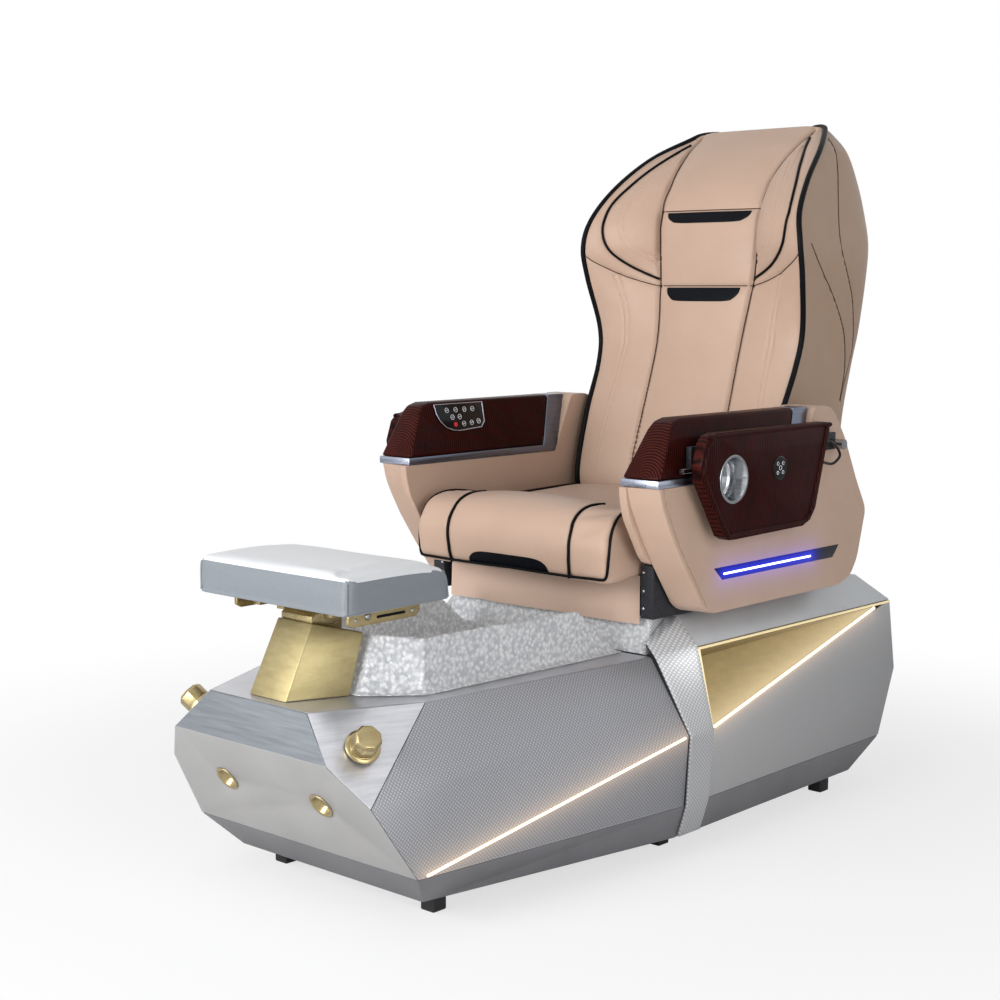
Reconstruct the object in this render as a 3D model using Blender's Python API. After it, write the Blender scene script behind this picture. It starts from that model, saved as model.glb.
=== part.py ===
# Pedicure spa chair: faceted base with a foot basin, a tilting footrest and a reclining seat.
# Metres, +Z up. The basin end faces -Y, +X is the sitter's left, origin on the floor below the middle.

import math

import bpy
import bmesh
import numpy as np
from mathutils import Matrix, Vector

for old in list(bpy.data.objects):
    bpy.data.objects.remove(old, do_unlink=True)

# Driving dimensions of the base
base_front = -0.800
base_rear = 0.745
waist_half = 0.372
floor_clear = 0.040
skirt_top = 0.106
front_deck_z = 0.384
seat_deck_z = 0.456
band_front = -0.033
band_rear = 0.038
tub_rim_z = 0.485
tub_floor_z = 0.127
foot_side = 0.033

# Driving dimensions of the chair
seat_half = 0.252
seat_front = -0.135
seat_rear = 0.385
pan_top = 0.540
arm_gap = 0.028
arm_wide = 0.085
arm_in = seat_half + arm_gap
arm_out = arm_in + arm_wide
trim_z = 0.722
arm_top = 0.847
tray_thick = 0.022
recline_y = 0.440
recline_z = 0.600
arm_pin_y = 0.490
shell_wall = 0.010
back_low = 0.575
back_top = 1.438

# Clearances and sheet thicknesses
sheet = 0.006
seam = 0.00045
rest = 0.0004
turn = 0.0006

palette = {
    "satin": ((0.40, 0.40, 0.40), 0.6, 0.38),
    "bright": ((0.62, 0.62, 0.66), 0.9, 0.28),
    "twill": ((0.33, 0.33, 0.34), 0.5, 0.42),
    "dark": ((0.16, 0.155, 0.165), 0.3, 0.50),
    "gold": ((0.58, 0.43, 0.16), 1.0, 0.25),
    "glow": ((1.0, 0.85, 0.62), 0.0, 0.40),
    "crystal": ((0.78, 0.82, 0.85), 0.0, 0.10),
    "black": ((0.012, 0.012, 0.013), 0.0, 0.55),
    "leather": ((0.58, 0.43, 0.32), 0.0, 0.45),
    "pad": ((0.32, 0.35, 0.38), 0.0, 0.55),
    "wood": ((0.035, 0.006, 0.006), 0.0, 0.12),
    "steel": ((0.60, 0.60, 0.61), 1.0, 0.22),
    "white": ((0.85, 0.85, 0.85), 0.0, 0.35),
}


def material(kind, node):
    mat = bpy.data.materials.new("mat_" + node)
    mat.use_nodes = True
    shader = mat.node_tree.nodes["Principled BSDF"]
    rgb, metal, rough = palette[kind]
    shader.inputs["Base Color"].default_value = (rgb[0], rgb[1], rgb[2], 1.0)
    shader.inputs["Metallic"].default_value = metal
    shader.inputs["Roughness"].default_value = rough
    return mat


def raw(name, verts, faces):
    mesh = bpy.data.meshes.new(name)
    mesh.from_pydata([tuple(v) for v in verts], [], faces)
    work = bmesh.new()
    work.from_mesh(mesh)
    bmesh.ops.remove_doubles(work, verts=work.verts, dist=0.00002)
    bmesh.ops.dissolve_degenerate(work, edges=work.edges, dist=0.00002)
    bmesh.ops.triangulate(work, faces=[f for f in work.faces if len(f.verts) > 3])
    bmesh.ops.recalc_face_normals(work, faces=work.faces)
    work.to_mesh(mesh)
    work.free()
    thing = bpy.data.objects.new(name, mesh)
    bpy.context.scene.collection.objects.link(thing)
    return thing


def dress(thing, kind, origin=None):
    thing.data.materials.clear()
    thing.data.materials.append(material(kind, thing.name))
    if origin is not None:
        thing.data.transform(Matrix.Translation(-Vector(origin)))
        thing.location = origin
    return thing


def combine(target, tool, how):
    step = target.modifiers.new("step", "BOOLEAN")
    step.operation = how
    step.solver = "EXACT"
    step.object = tool
    bpy.context.view_layer.update()
    graph = bpy.context.evaluated_depsgraph_get()
    done = bpy.data.meshes.new_from_object(target.evaluated_get(graph))
    target.modifiers.clear()
    target.data = done
    bpy.data.objects.remove(tool, do_unlink=True)
    return target


def box(name, x, y, z):
    verts = [(i, j, k) for k in z for j in y for i in x]
    faces = [(0, 2, 3, 1), (4, 5, 7, 6), (0, 1, 5, 4), (2, 6, 7, 3), (0, 4, 6, 2), (1, 3, 7, 5)]
    return raw(name, verts, faces)


def weld(name, first, others):
    whole = box(name, *first)
    for item in others:
        combine(whole, box("tool", *item), "UNION")
    return whole


def loft(name, rings, capped=True):
    count = len(rings[0])
    verts = [p for ring in rings for p in ring]
    faces = []
    for r in range(len(rings) - 1):
        for i in range(count):
            j = (i + 1) % count
            faces.append((r * count + i, r * count + j, (r + 1) * count + j, (r + 1) * count + i))
    if capped:
        faces.append(tuple(range(count))[::-1])
        last = (len(rings) - 1) * count
        faces.append(tuple(range(last, last + count)))
    else:
        last = len(rings) - 1
        for i in range(count):
            j = (i + 1) % count
            faces.append((last * count + i, last * count + j, j, i))
    return raw(name, verts, faces)


def prism(name, outline, axis, lo, hi):
    place = {
        "x": lambda a, b, c: (c, a, b),
        "y": lambda a, b, c: (a, c, b),
        "z": lambda a, b, c: (a, b, c),
    }[axis]
    return loft(name, [[place(a, b, c) for a, b in outline] for c in (lo, hi)])


def frame_along(axis):
    n = Vector(axis).normalized()
    side = n.orthogonal().normalized()
    return n, side, n.cross(side)


def turned(name, origin, axis, profile, count=24):
    # profile: (radius, height) pairs along the axis; a radius of zero closes the end
    n, a, b = frame_along(axis)
    rings = []
    for radius, height in profile:
        ring = []
        for i in range(count):
            t = 2.0 * math.pi * i / count
            ring.append(Vector(origin) + n * height + (a * math.cos(t) + b * math.sin(t)) * radius)
        rings.append(ring)
    closed = profile[0][0] <= 0.0 or profile[-1][0] <= 0.0
    return loft(name, rings, capped=closed)


def rod(name, start, end, radius, count=16):
    path = Vector(end) - Vector(start)
    profile = [(0.0, 0.0), (radius, 0.0), (radius, path.length), (0.0, path.length)]
    return turned(name, start, path, profile, count)


# Corner points of the faceted base, +X side; a leading minus names the mirrored point
front_lean = 0.124 / (0.310 - skirt_top)
corner = {
    "T": (0.128, base_front + 0.024, front_deck_z),
    "B": (0.201, base_front, 0.310),
    "M": (0.262, base_front + front_lean * (0.310 - 0.240), 0.240),
    "L": (0.288, base_front + 0.124, skirt_top),
    "S": (0.219, base_front + 0.214, front_deck_z),
    "R": (0.280, band_front, front_deck_z),
    "K": (waist_half, band_front, 0.245),
    "J": (waist_half - 0.010, band_front, skirt_top),
    "A": (waist_half - 0.037, band_rear, 0.401),
    "k": (waist_half + 0.002, band_rear, 0.240),
    "j": (waist_half - 0.010, band_rear, skirt_top),
    "C": (waist_half - 0.024, base_rear - 0.003, 0.402),
    "E": (waist_half - 0.010, base_rear, 0.250),
    "e": (waist_half - 0.014, base_rear - 0.055, skirt_top),
    "P": (waist_half - 0.087, band_rear + 0.002, seat_deck_z),
    "p": (waist_half - 0.087, base_rear - 0.045, seat_deck_z),
    "D": (0.239, base_front + 0.185, floor_clear),
    "d": (waist_half - 0.030, band_front, floor_clear),
    "f": (waist_half - 0.030, band_rear, floor_clear),
    "g": (waist_half - 0.034, base_rear - 0.145, floor_clear),
}


def point(key):
    if key[0] == "-":
        x, y, z = corner[key[1:]]
        return np.array((-x, y, z))
    return np.array(corner[key])


def flip(loop):
    return [k[1:] if k[0] == "-" else "-" + k for k in reversed(loop)]


half_loops = [
    ["B", "M", "S", "T"], ["M", "L", "K", "R", "S"], ["L", "J", "K"], ["D", "d", "J", "L"],
    ["d", "f", "j", "J"], ["j", "e", "E", "C", "k"], ["k", "C", "A"], ["f", "g", "e", "j"],
    ["A", "C", "p", "P"],
]
whole_loops = [
    ["-B", "B", "T", "-T"], ["-L", "L", "M", "B", "-B", "-M"], ["-D", "D", "L", "-L"],
    ["E", "-E", "-C", "C"], ["e", "-e", "-E", "E"], ["g", "-g", "-e", "e"],
    ["-T", "T", "S", "R", "-R", "-S"], ["C", "-C", "-p", "p"], ["-P", "P", "p", "-p"],
]
all_loops = half_loops + [flip(loop) for loop in half_loops] + whole_loops


def unit(v):
    return v / np.linalg.norm(v)


def inward(key, depth, skip=()):
    # the point below a corner, at the same depth under every facet that meets there
    here = point(key)
    normals = []
    for loop in all_loops:
        if key in loop and loop not in skip:
            i = loop.index(key)
            ahead = point(loop[(i + 1) % len(loop)]) - here
            back = point(loop[i - 1]) - here
            normals.append(unit(np.cross(ahead, back)))
    shift = np.linalg.lstsq(np.array(normals), np.ones(len(normals)), rcond=1e-3)[0]
    return here - depth * shift


def panel(name, outer, inner, faces, pull=seam):
    # a sheet between two matching point grids, drawn in by the seam along its free edges
    outer = [np.array(p, float) for p in outer]
    inner = [np.array(p, float) for p in inner]
    normal = [np.zeros(3) for p in outer]
    edges = {}
    for face in faces:
        n = np.zeros(3)
        for a, b in zip(face, face[1:] + face[:1]):
            n = n + np.cross(outer[a], outer[b])
            edges[(a, b)] = True
        for a in face:
            normal[a] = normal[a] + unit(n)
    free = [e for e in edges if (e[1], e[0]) not in edges]
    after = {a: b for a, b in free}
    before = {b: a for a, b in free}
    moved = {}
    for v in after:
        n = unit(normal[v])
        left = unit(np.cross(n, outer[v] - outer[before[v]]))
        right = unit(np.cross(n, outer[after[v]] - outer[v]))
        moved[v] = pull * (left + right) / max(0.35, 1.0 + float(left @ right))
    for v, shift in moved.items():
        outer[v] = outer[v] + shift
        inner[v] = inner[v] + shift
    count = len(outer)
    shell = [tuple(f) for f in faces] + [tuple(i + count for i in reversed(f)) for f in faces]
    shell += [(b, a, a + count, b + count) for a, b in free]
    return raw(name, outer + inner, shell)


def facets(name, loops, depth=sheet, skip=()):
    keys = sorted({k for loop in loops for k in loop})
    outer = [point(k) for k in keys]
    inner = [inward(k, depth, skip) for k in keys]
    return panel(name, outer, inner, [[keys.index(k) for k in loop] for loop in loops])


def between(a, b, t):
    return a + (b - a) * t


def ruled(name, front_keys, rear_pairs, across, depth=sheet):
    # a sheet ruled from a chain of corners to points on matching edges behind it
    grids = []
    for find in (point, lambda k: inward(k, depth)):
        rows = []
        for key, (low, high, t) in zip(front_keys, rear_pairs):
            end = between(find(low), find(high), t)
            rows.append([between(find(key), end, i / across) for i in range(across + 1)])
        grids.append([p for row in rows for p in row])
    wide = across + 1
    faces = []
    for r in range(len(front_keys) - 1):
        for i in range(across):
            a = r * wide + i
            if r > 0 and i == 0 and front_keys[r] == front_keys[r + 1]:
                faces.append([a, a + wide + 1, a + 1])
            else:
                faces.append([a, a + wide, a + wide + 1, a + 1])
    used = sorted({v for f in faces for v in f})
    faces = [[used.index(v) for v in f] for f in faces]
    return panel(name, [grids[0][v] for v in used], [grids[1][v] for v in used], faces)


def reflect(thing, name):
    twin = bpy.data.objects.new(name, thing.data.copy())
    bpy.context.scene.collection.objects.link(twin)
    twin.data.transform(Matrix.Diagonal((-1.0, 1.0, 1.0, 1.0)))
    twin.data.flip_normals()
    twin.data.name = name
    return twin


def both(thing, stem, kind, origin=None):
    twin = reflect(thing, stem + "_right")
    dress(thing, kind, origin)
    dress(twin, kind, None if origin is None else (-origin[0], origin[1], origin[2]))


# Base sheets
front_panel = facets("front_panel", [["-B", "B", "T", "-T"], ["-L", "L", "M", "B", "-B", "-M"]])
pull_normal = Vector((0.0, -1.0, -front_lean)).normalized()
pull_z = 0.217
pull_point = (0.125, base_front + front_lean * (0.310 - pull_z), pull_z)
pull_radius = 0.0200
for side in (1, -1):
    spot = Vector((side * pull_point[0], pull_point[1], pull_point[2]))
    hole = rod("tool", spot - pull_normal * 0.03, spot + pull_normal * 0.03, pull_radius + turn, 24)
    combine(front_panel, hole, "DIFFERENCE")
dress(front_panel, "satin")

cup_profile = [(0.0, -0.0140), (pull_radius, -0.0140), (pull_radius, rest), (pull_radius + 0.0055, rest),
               (pull_radius + 0.0055, 0.0018), (pull_radius + 0.0035, 0.0026), (pull_radius - 0.0015, 0.0018),
               (pull_radius - 0.0050, -0.0110), (0.0, -0.0122)]
pull_cup = turned("front_pull_left", pull_point, pull_normal, cup_profile)
both(pull_cup, "front_pull", "gold")

plate = ruled("corner_plate_left", ["T", "B"], [("S", "M", 0.0), ("S", "M", 1.0)], 4)
knob_mid = Vector(0.25 * (point("B") + point("M") + point("S") + point("T")))
knob_axis = Vector(np.cross(point("S") - point("B"), point("T") - point("M"))).normalized()
if knob_axis.z < 0.0:
    knob_axis = -knob_axis
knob_mid = knob_mid + Vector((0.006, 0.004, -0.001))
stem_radius = 0.0100
stem_hole = rod("tool", knob_mid - knob_axis * 0.05, knob_mid + knob_axis * 0.05, stem_radius + turn)
combine(plate, stem_hole, "DIFFERENCE")
both(plate, "corner_plate", "bright")

sides = ruled("side_panel_left", ["S", "M", "L", "L"],
              [("R", "K", 0.0), ("R", "K", 0.5), ("R", "K", 1.0), ("J", "K", 0.0)], 4)
both(sides, "side_panel", "twill")

skirt_loops = [["-D", "D", "L", "-L"], ["D", "d", "J", "L"], ["d", "f", "j", "J"], ["f", "g", "e", "j"],
               ["g", "-g", "-e", "e"]]
skirt_loops += [flip(loop) for loop in skirt_loops[1:4]]
dress(facets("skirt", skirt_loops), "dark")

rear_loops = [["j", "e", "E", "C", "k"], ["E", "-E", "-C", "C"], ["e", "-e", "-E", "E"]]
rear_loops.append(flip(rear_loops[0]))
dress(facets("rear_shell", rear_loops), "satin")

deck_loops = [["A", "C", "p", "P"], ["C", "-C", "-p", "p"], ["-P", "P", "p", "-p"]]
deck_loops.append(flip(deck_loops[0]))
niche_loop = ["k", "C", "A"]
beside_deck = [niche_loop, flip(niche_loop)]
seat_deck = facets("seat_deck", deck_loops, sheet, beside_deck)
tongue_half = waist_half - 0.110
tongue = [(band_front + 0.002, front_deck_z + 0.001), (band_front + 0.008, front_deck_z + 0.001),
          (band_front + 0.026, seat_deck_z - sheet), (band_rear + 0.012, seat_deck_z - sheet),
          (band_rear + 0.012, seat_deck_z), (band_front + 0.021, seat_deck_z)]
combine(seat_deck, prism("tool", tongue, "x", -tongue_half, tongue_half), "UNION")
dress(seat_deck, "satin")

# Centre band, a strap standing proud of the sheets on both sides of it
strap_foot = [(waist_half - 0.003, skirt_top), (waist_half - 0.023, floor_clear + 0.002)]
strap_front = [(tongue_half + 0.004, front_deck_z + 0.028), (tongue_half + 0.013, front_deck_z + 0.016),
               (tongue_half + 0.027, front_deck_z), (waist_half + 0.005, 0.245)] + strap_foot
strap_rear = [(tongue_half + 0.004, seat_deck_z + 0.001), (tongue_half + 0.025, seat_deck_z - 0.001),
              (waist_half - 0.034, 0.402), (waist_half + 0.008, 0.240)] + strap_foot


def offset_line(line, depth):
    points = [np.array(p) for p in line]
    out = []
    for i, p in enumerate(points):
        normals = []
        if i > 0:
            d = unit(p - points[i - 1])
            normals.append(np.array((d[1], -d[0])))
        if i < len(points) - 1:
            d = unit(points[i + 1] - p)
            normals.append(np.array((d[1], -d[0])))
        n = sum(normals)
        n = n / (n @ normals[0])
        out.append(p + n * depth)
    return [tuple(p) for p in out]


strap_rings = []
for line, y in ((strap_front, band_front + seam), (strap_rear, band_rear - seam)):
    loop = line + offset_line(line, 0.005)[::-1]
    strap_rings.append([(x, y, z) for x, z in loop])
both(loft("centre_band_left", strap_rings), "centre_band", "bright")

# Gold niche: a three-cornered cup under the shoulder, with a light bar along its lower edge
niche_tri = [point("k"), point("C"), point("A")]
niche_out = unit(np.cross(niche_tri[1] - niche_tri[0], niche_tri[2] - niche_tri[0]))


def shrink(tri, amounts):
    # moves each edge of a triangle inwards by its own amount
    n = unit(np.cross(tri[1] - tri[0], tri[2] - tri[0]))
    lines = []
    for i in range(3):
        d = unit(tri[(i + 1) % 3] - tri[i])
        lines.append((tri[i] + np.cross(n, d) * amounts[i], d))
    result = []
    for i in range(3):
        a, da = lines[i - 1]
        b, db = lines[i]
        cross = np.cross(da, db)
        t = np.dot(np.cross(b - a, db), cross) / np.dot(cross, cross)
        result.append(a + da * t)
    return result


light_width = 0.008
rim_out = shrink(niche_tri, (0.0017 + light_width, 0.0072, 0.0015))
rim_in = shrink(rim_out, (0.0020, 0.0020, 0.0020))
niche_deep = rim_in[2] * 0.80 + rim_in[0] * 0.12 + rim_in[1] * 0.08 - niche_out * 0.060
niche_back = niche_deep - niche_out * 0.004
niche_points = rim_out + rim_in + [niche_deep, niche_back]
niche_faces = []
for i in range(3):
    j = (i + 1) % 3
    niche_faces += [(i, j, j + 3, i + 3), (i + 3, j + 3, 6), (j, i, 7)]
both(raw("gold_niche_left", niche_points, niche_faces), "gold_niche", "gold")


def bar_on(name, start, end, up, out, width, depth, trim):
    along = unit(end - start)
    first = start + along * trim[0]
    last = end - along * trim[1]
    verts = []
    for lift in depth:
        for base in (first, last):
            for climb in width:
                verts.append(base + up * climb + out * lift)
    faces = [(0, 1, 3, 2), (4, 6, 7, 5), (0, 4, 5, 1), (2, 3, 7, 6), (0, 2, 6, 4), (1, 5, 7, 3)]
    return raw(name, verts, faces)


along_niche = unit(niche_tri[1] - niche_tri[0])
up_niche = np.cross(niche_out, along_niche)
niche_bar = bar_on("niche_light_left", niche_tri[0], niche_tri[1], up_niche, niche_out,
                   (0.0012, 0.0012 + light_width), (-0.004, 0.0012), (0.012, 0.085))
both(niche_bar, "niche_light", "glow")

fold_a = point("L")
fold_b = point("K")
fold_along = unit(fold_b - fold_a)
fold_out = unit(np.cross(point("R") - point("K"), -fold_along))
fold_out = fold_out if fold_out[0] > 0 else -fold_out
fold_out = unit(fold_out + np.array((0.9, -0.1, 0.0)))
fold_out = unit(fold_out - fold_along * float(fold_out @ fold_along))
fold_up = np.cross(fold_out, fold_along)
side_bar = bar_on("side_light_left", fold_a, fold_b, fold_up, fold_out,
                  (-0.004, 0.004), (0.0009, 0.0036), (0.020, 0.012))
both(side_bar, "side_light", "glow")

# Floor pan with two upright plates under the seat deck, and the feet
pan_keys = ["-D", "D", "d", "f", "g", "-g", "-f", "-d"]
pan_ring = [inward(k, sheet + 0.0010) for k in pan_keys]
pan_low = floor_clear
pan_loop = [(p[0], p[1]) for p in pan_ring]
base_frame = prism("base_frame", pan_loop, "z", pan_low, pan_low + 0.012)
plate_half = waist_half - 0.110
for y in (0.120, base_rear - 0.245):
    upright = ((-plate_half, plate_half), (y, y + 0.010), (pan_low + 0.006, seat_deck_z - sheet - rest))
    combine(base_frame, box("tool", *upright), "UNION")
dress(base_frame, "steel")

foot_spots = {
    "front": (0.196, base_front + 0.254),
    "mid": (waist_half - 0.110, 0.5 * (band_front + band_rear) + 0.0135),
    "rear": (waist_half - 0.075, base_rear - 0.199),
}
for row, (x, y) in foot_spots.items():
    half = foot_side / 2.0
    foot = box("foot_" + row + "_left", (x - half, x + half), (y - half, y + half), (0.0, floor_clear - rest))
    both(foot, "foot_" + row, "black")

# Foot basin with its lip on the front deck
def basin_ring(rows):
    left = [(x, y, z) for x, y, z in rows]
    return left + [(-x, y, z) for x, y, z in reversed(left)]


tub_front = base_front + 0.168
tub_back = band_front - 0.017
deck_ring = [(0.105, tub_front), (0.182, tub_front + 0.080), (0.203, -0.155), (0.205, tub_back)]
rim_ring = [(0.090, tub_front + 0.044), (0.180, tub_front + 0.080), (0.198, -0.155),
            (0.200, tub_back - 0.005)]
floor_ring = [(0.070, tub_front + 0.130), (0.130, tub_front + 0.170), (0.140, -0.170),
              (0.140, tub_back - 0.008)]


def grown(ring, amount):
    # moves every wall of a half outline outwards; the outline is closed by its mirror image
    pts = [np.array(p) for p in ring]
    pts = pts + [np.array((-x, y)) for x, y in reversed(ring)]
    out = []
    count = len(pts)
    for i in range(count):
        a = unit(pts[i] - pts[i - 1])
        b = unit(pts[(i + 1) % count] - pts[i])
        na = np.array((a[1], -a[0]))
        nb = np.array((b[1], -b[0]))
        n = (na + nb) / (1.0 + float(na @ nb))
        out.append(tuple(pts[i] + n * amount))
    return out[:len(ring)]


wall = 0.008
low_rim = 0.402
lip_low = front_deck_z + rest
lip_top = lip_low + 0.004
rim_heights = (tub_rim_z, tub_rim_z, tub_rim_z - 0.004, low_rim)


def level(ring, z):
    heights = z if isinstance(z, tuple) else (z, z, z, z)
    return basin_ring([(x, y, h) for (x, y), h in zip(ring, heights)])


tub_rings = [
    level(floor_ring, tub_floor_z - 0.010),
    level(deck_ring, lip_low),
    level(grown(deck_ring, 0.010), lip_low),
    level(grown(deck_ring, 0.010), lip_top),
    level(deck_ring, lip_top),
    level(rim_ring, rim_heights),
    level(grown(rim_ring, -wall), rim_heights),
    level(grown(deck_ring, -wall), front_deck_z),
    level(grown(floor_ring, -wall), tub_floor_z),
]
tub = loft("tub", tub_rings)
drain_y = -0.330
stopper_stem = 0.0070
combine(tub, rod("tool", (0.0, drain_y, 0.05), (0.0, drain_y, 0.20), stopper_stem + 0.0015), "DIFFERENCE")
dress(tub, "crystal")

front_deck = facets("front_deck", [["-T", "T", "S", "R", "-R", "-S"]])
deck_hole = [(x, y) for x, y, z in level(grown(deck_ring, 0.0015), 0.0)]
combine(front_deck, prism("tool", deck_hole, "z", front_deck_z - 0.05, front_deck_z + 0.05), "DIFFERENCE")
dress(front_deck, "bright")

stopper = turned("drain_stopper", (0.0, drain_y, tub_floor_z), (0, 0, 1),
                 [(0.0, -0.040), (stopper_stem, -0.040), (stopper_stem, rest), (0.024, rest), (0.024, 0.003),
                  (0.018, 0.006), (0.0, 0.007)])
dress(stopper, "steel", (0.0, drain_y, tub_floor_z))

jet_z = 0.250
jet_y = tub_back - wall - 0.0062
jet_cover = turned("jet_cover", (0.0, jet_y, jet_z), (0, -1, 0),
                   [(0.044, 0.0), (0.050, 0.0), (0.050, 0.022), (0.044, 0.028), (0.016, 0.028),
                    (0.016, 0.025), (0.044, 0.025)])
dress(jet_cover, "white")
impeller = turned("jet_impeller", (0.0, jet_y, jet_z), (0, -1, 0),
                  [(0.0, -0.0014), (0.005, -0.0014), (0.005, 0.003), (0.036, 0.003), (0.036, 0.007),
                   (0.012, 0.007), (0.010, 0.020), (0.0, 0.021)])
for blade in range(2):
    fin = ((-0.032, 0.032), (jet_y - 0.018, jet_y - 0.005), (jet_z - 0.0015, jet_z + 0.0015))
    fin_box = box("tool", *fin)
    spin = Matrix.Translation((0, 0, jet_z)) @ Matrix.Rotation(blade * math.pi / 2, 4, "Y")
    fin_box.data.transform(spin @ Matrix.Translation((0, 0, -jet_z)))
    combine(impeller, fin_box, "UNION")
dress(impeller, "steel", (0.0, jet_y, jet_z))

# Knobs on the corner facets
knob_profile = [(0.0, -0.030), (stem_radius, -0.030), (stem_radius, 0.0030), (0.024, 0.0030), (0.025, 0.0070),
                (0.021, 0.0090)]
stem = turned("knob_left", knob_mid, knob_axis, knob_profile + [(0.0, 0.0090)], 24)
head_profile = [(0.0, 0.008), (0.0195, 0.008), (0.0195, 0.013), (0.0185, 0.0145), (0.0195, 0.016),
                (0.0195, 0.032), (0.0165, 0.036), (0.0, 0.036)]
head = turned("tool", knob_mid, knob_axis, head_profile, 8)
combine(stem, head, "UNION")
both(stem, "knob", "gold", tuple(knob_mid))

# Footrest: wedge pedestal, hinge head with its pin, bracket and pad
ped_low = front_deck_z + rest
ped_front = base_front + 0.047
ped_back = tub_front - 0.013
pin_y = base_front + 0.145
pin_z = 0.533
pin_radius = 0.007
ped = []
for half, y, z in ((0.048, ped_front, ped_low), (0.092, ped_back, ped_low), (0.085, ped_back + 0.041, 0.490),
                   (0.045, ped_front + 0.065, 0.512)):
    ped.append((half, y, z))
ped_verts = [(h, y, z) for h, y, z in ped] + [(-h, y, z) for h, y, z in ped]
ped_faces = [(0, 1, 2, 3), (7, 6, 5, 4), (0, 4, 5, 1), (1, 5, 6, 2), (2, 6, 7, 3), (3, 7, 4, 0)]
dress(raw("footrest_pedestal", ped_verts, ped_faces), "gold")

ped_top = [(ped_front + 0.065, 0.512), (ped_back + 0.041, 0.490)]
slope = (ped_top[1][1] - ped_top[0][1]) / (ped_top[1][0] - ped_top[0][0])
head_a = ped_top[0][0] + 0.004
head_b = ped_top[1][0] - 0.010
head_line = [(head_a, 0.512 + slope * 0.004 + rest), (head_b, 0.490 - slope * 0.010 + rest), (head_b, 0.522),
             (pin_y + 0.004, pin_z + 0.006), (pin_y - 0.004, pin_z + 0.006), (head_a, 0.522)]
hinge = prism("footrest_hinge", head_line, "x", -0.040, 0.040)
pin_half = 0.150
combine(hinge, rod("tool", (-pin_half, pin_y, pin_z), (pin_half, pin_y, pin_z), pin_radius), "UNION")
dress(hinge, "gold")

bracket_top = pin_z + 0.0135
bracket_y = (pin_y - 0.045, pin_y + 0.145)
bracket = box("footrest_bracket", (-pin_half, pin_half), bracket_y, (bracket_top - 0.005, bracket_top))
for side in (1, -1):
    for inner_x in (0.052, 0.118):
        lo, hi = sorted((side * inner_x, side * (inner_x + 0.020)))
        lug = ((lo, hi), (pin_y - 0.0125, pin_y + 0.0125), (pin_z - 0.0115, bracket_top - 0.002))
        combine(bracket, box("tool", *lug), "UNION")
bore = rod("tool", (-0.2, pin_y, pin_z), (0.2, pin_y, pin_z), pin_radius + turn)
combine(bracket, bore, "DIFFERENCE")
dress(bracket, "gold", (0.0, pin_y, pin_z))


def bump(t, edge, power=2.0):
    # falls smoothly from one inside to zero at both ends of 0..1
    d = min(t, 1.0 - t) / edge
    return 1.0 if d >= 1.0 else 1.0 - (1.0 - d) ** power


def cushion(name, stations, profile_at, kind, origin=None):
    # a closed pad: one closed outline in each station plane across X, with flat ends
    rings = [[(x, y, z) for y, z in profile_at(i, x)] for i, x in enumerate(stations)]
    return dress(loft(name, rings), kind, origin)


def spaced(half, count, edge):
    # stations across a width, closer together near the ends
    inside = [(-1.0 + 2.0 * i / (count - 1)) * (half - edge) for i in range(count)]
    near = [edge * s for s in (1.0, 0.86, 0.5)]
    ends = [-half + (edge - e) for e in near]
    return ends + inside + [-e for e in reversed(ends)]


pad_half = 0.196
pad_edge = 0.018
pad_xs = spaced(pad_half, 9, pad_edge)
pad_low = bracket_top + rest
pad_y = (base_front + 0.057, base_front + 0.300)


def pad_outline(i, x):
    d = max(0.0, abs(x) - (pad_half - pad_edge)) / pad_edge
    tuck = pad_edge * (1.0 - math.sqrt(max(0.0, 1.0 - d * d)))
    crown = 0.0025 * (1.0 - (x / pad_half) ** 2)
    y0 = pad_y[0] + 0.7 * tuck
    y1 = pad_y[1] - 0.7 * tuck
    top = 0.615 - 0.45 * tuck
    low = pad_low + 0.2 * tuck
    return [(y0 + 0.008, low), (y1 - 0.006, low), (y1, low + 0.008), (y1 - 0.001, top - 0.030),
            (y1 - 0.012, top - 0.014), (y1 - 0.045, top - 0.006 + 0.5 * crown), (0.5 * (y0 + y1), top + crown),
            (y0 + 0.040, top + 0.6 * crown), (y0 + 0.010, top - 0.003), (y0, top - 0.012),
            (y0 - 0.002, 0.5 * (low + top)), (y0, low + 0.008)]


cushion("footrest_pad", pad_xs, pad_outline, "pad", (0.0, pin_y, pin_z))

# Slide rails and the sliding seat frame
rail_top = seat_deck_z + 0.020
rail_in = 0.195
rail_out = 0.225
rail = box("slide_rail_left", (rail_in, rail_out), (-0.010, 0.440), (seat_deck_z + rest, rail_top))
both(rail, "slide_rail", "steel")

pan_half = seat_half - 0.002
pan_low_z = pan_top - 0.020
frame_items = []
plate_x = (arm_in - 0.018, arm_in - 0.008)
post_x = (arm_in - 0.018, arm_in + 0.012)
for side in (1, -1):
    def span(a, b):
        return tuple(sorted((side * a, side * b)))
    frame_items.append((span(rail_in, rail_out), (0.0, 0.390), (rail_top + rest, pan_low_z + 0.002)))
    frame_items.append((span(pan_half - 0.01, post_x[1]), (-0.010, 0.080), (pan_low_z, pan_top - 0.004)))
    frame_items.append((span(*post_x), (-0.045, 0.090), (seat_deck_z + 0.0030, pan_top + 0.022)))
    frame_items.append((span(pan_half - 0.01, plate_x[1]), (0.330, 0.398), (pan_low_z, pan_top - 0.004)))
    frame_items.append((span(*plate_x), (0.330, arm_pin_y + 0.025), (seat_deck_z + 0.040, recline_z + 0.030)))
seat_frame = weld("seat_frame", ((-pan_half, pan_half), (-0.030, 0.400), (pan_low_z, pan_top)), frame_items)
recline_pin = 0.010
arm_pin = 0.009
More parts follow.
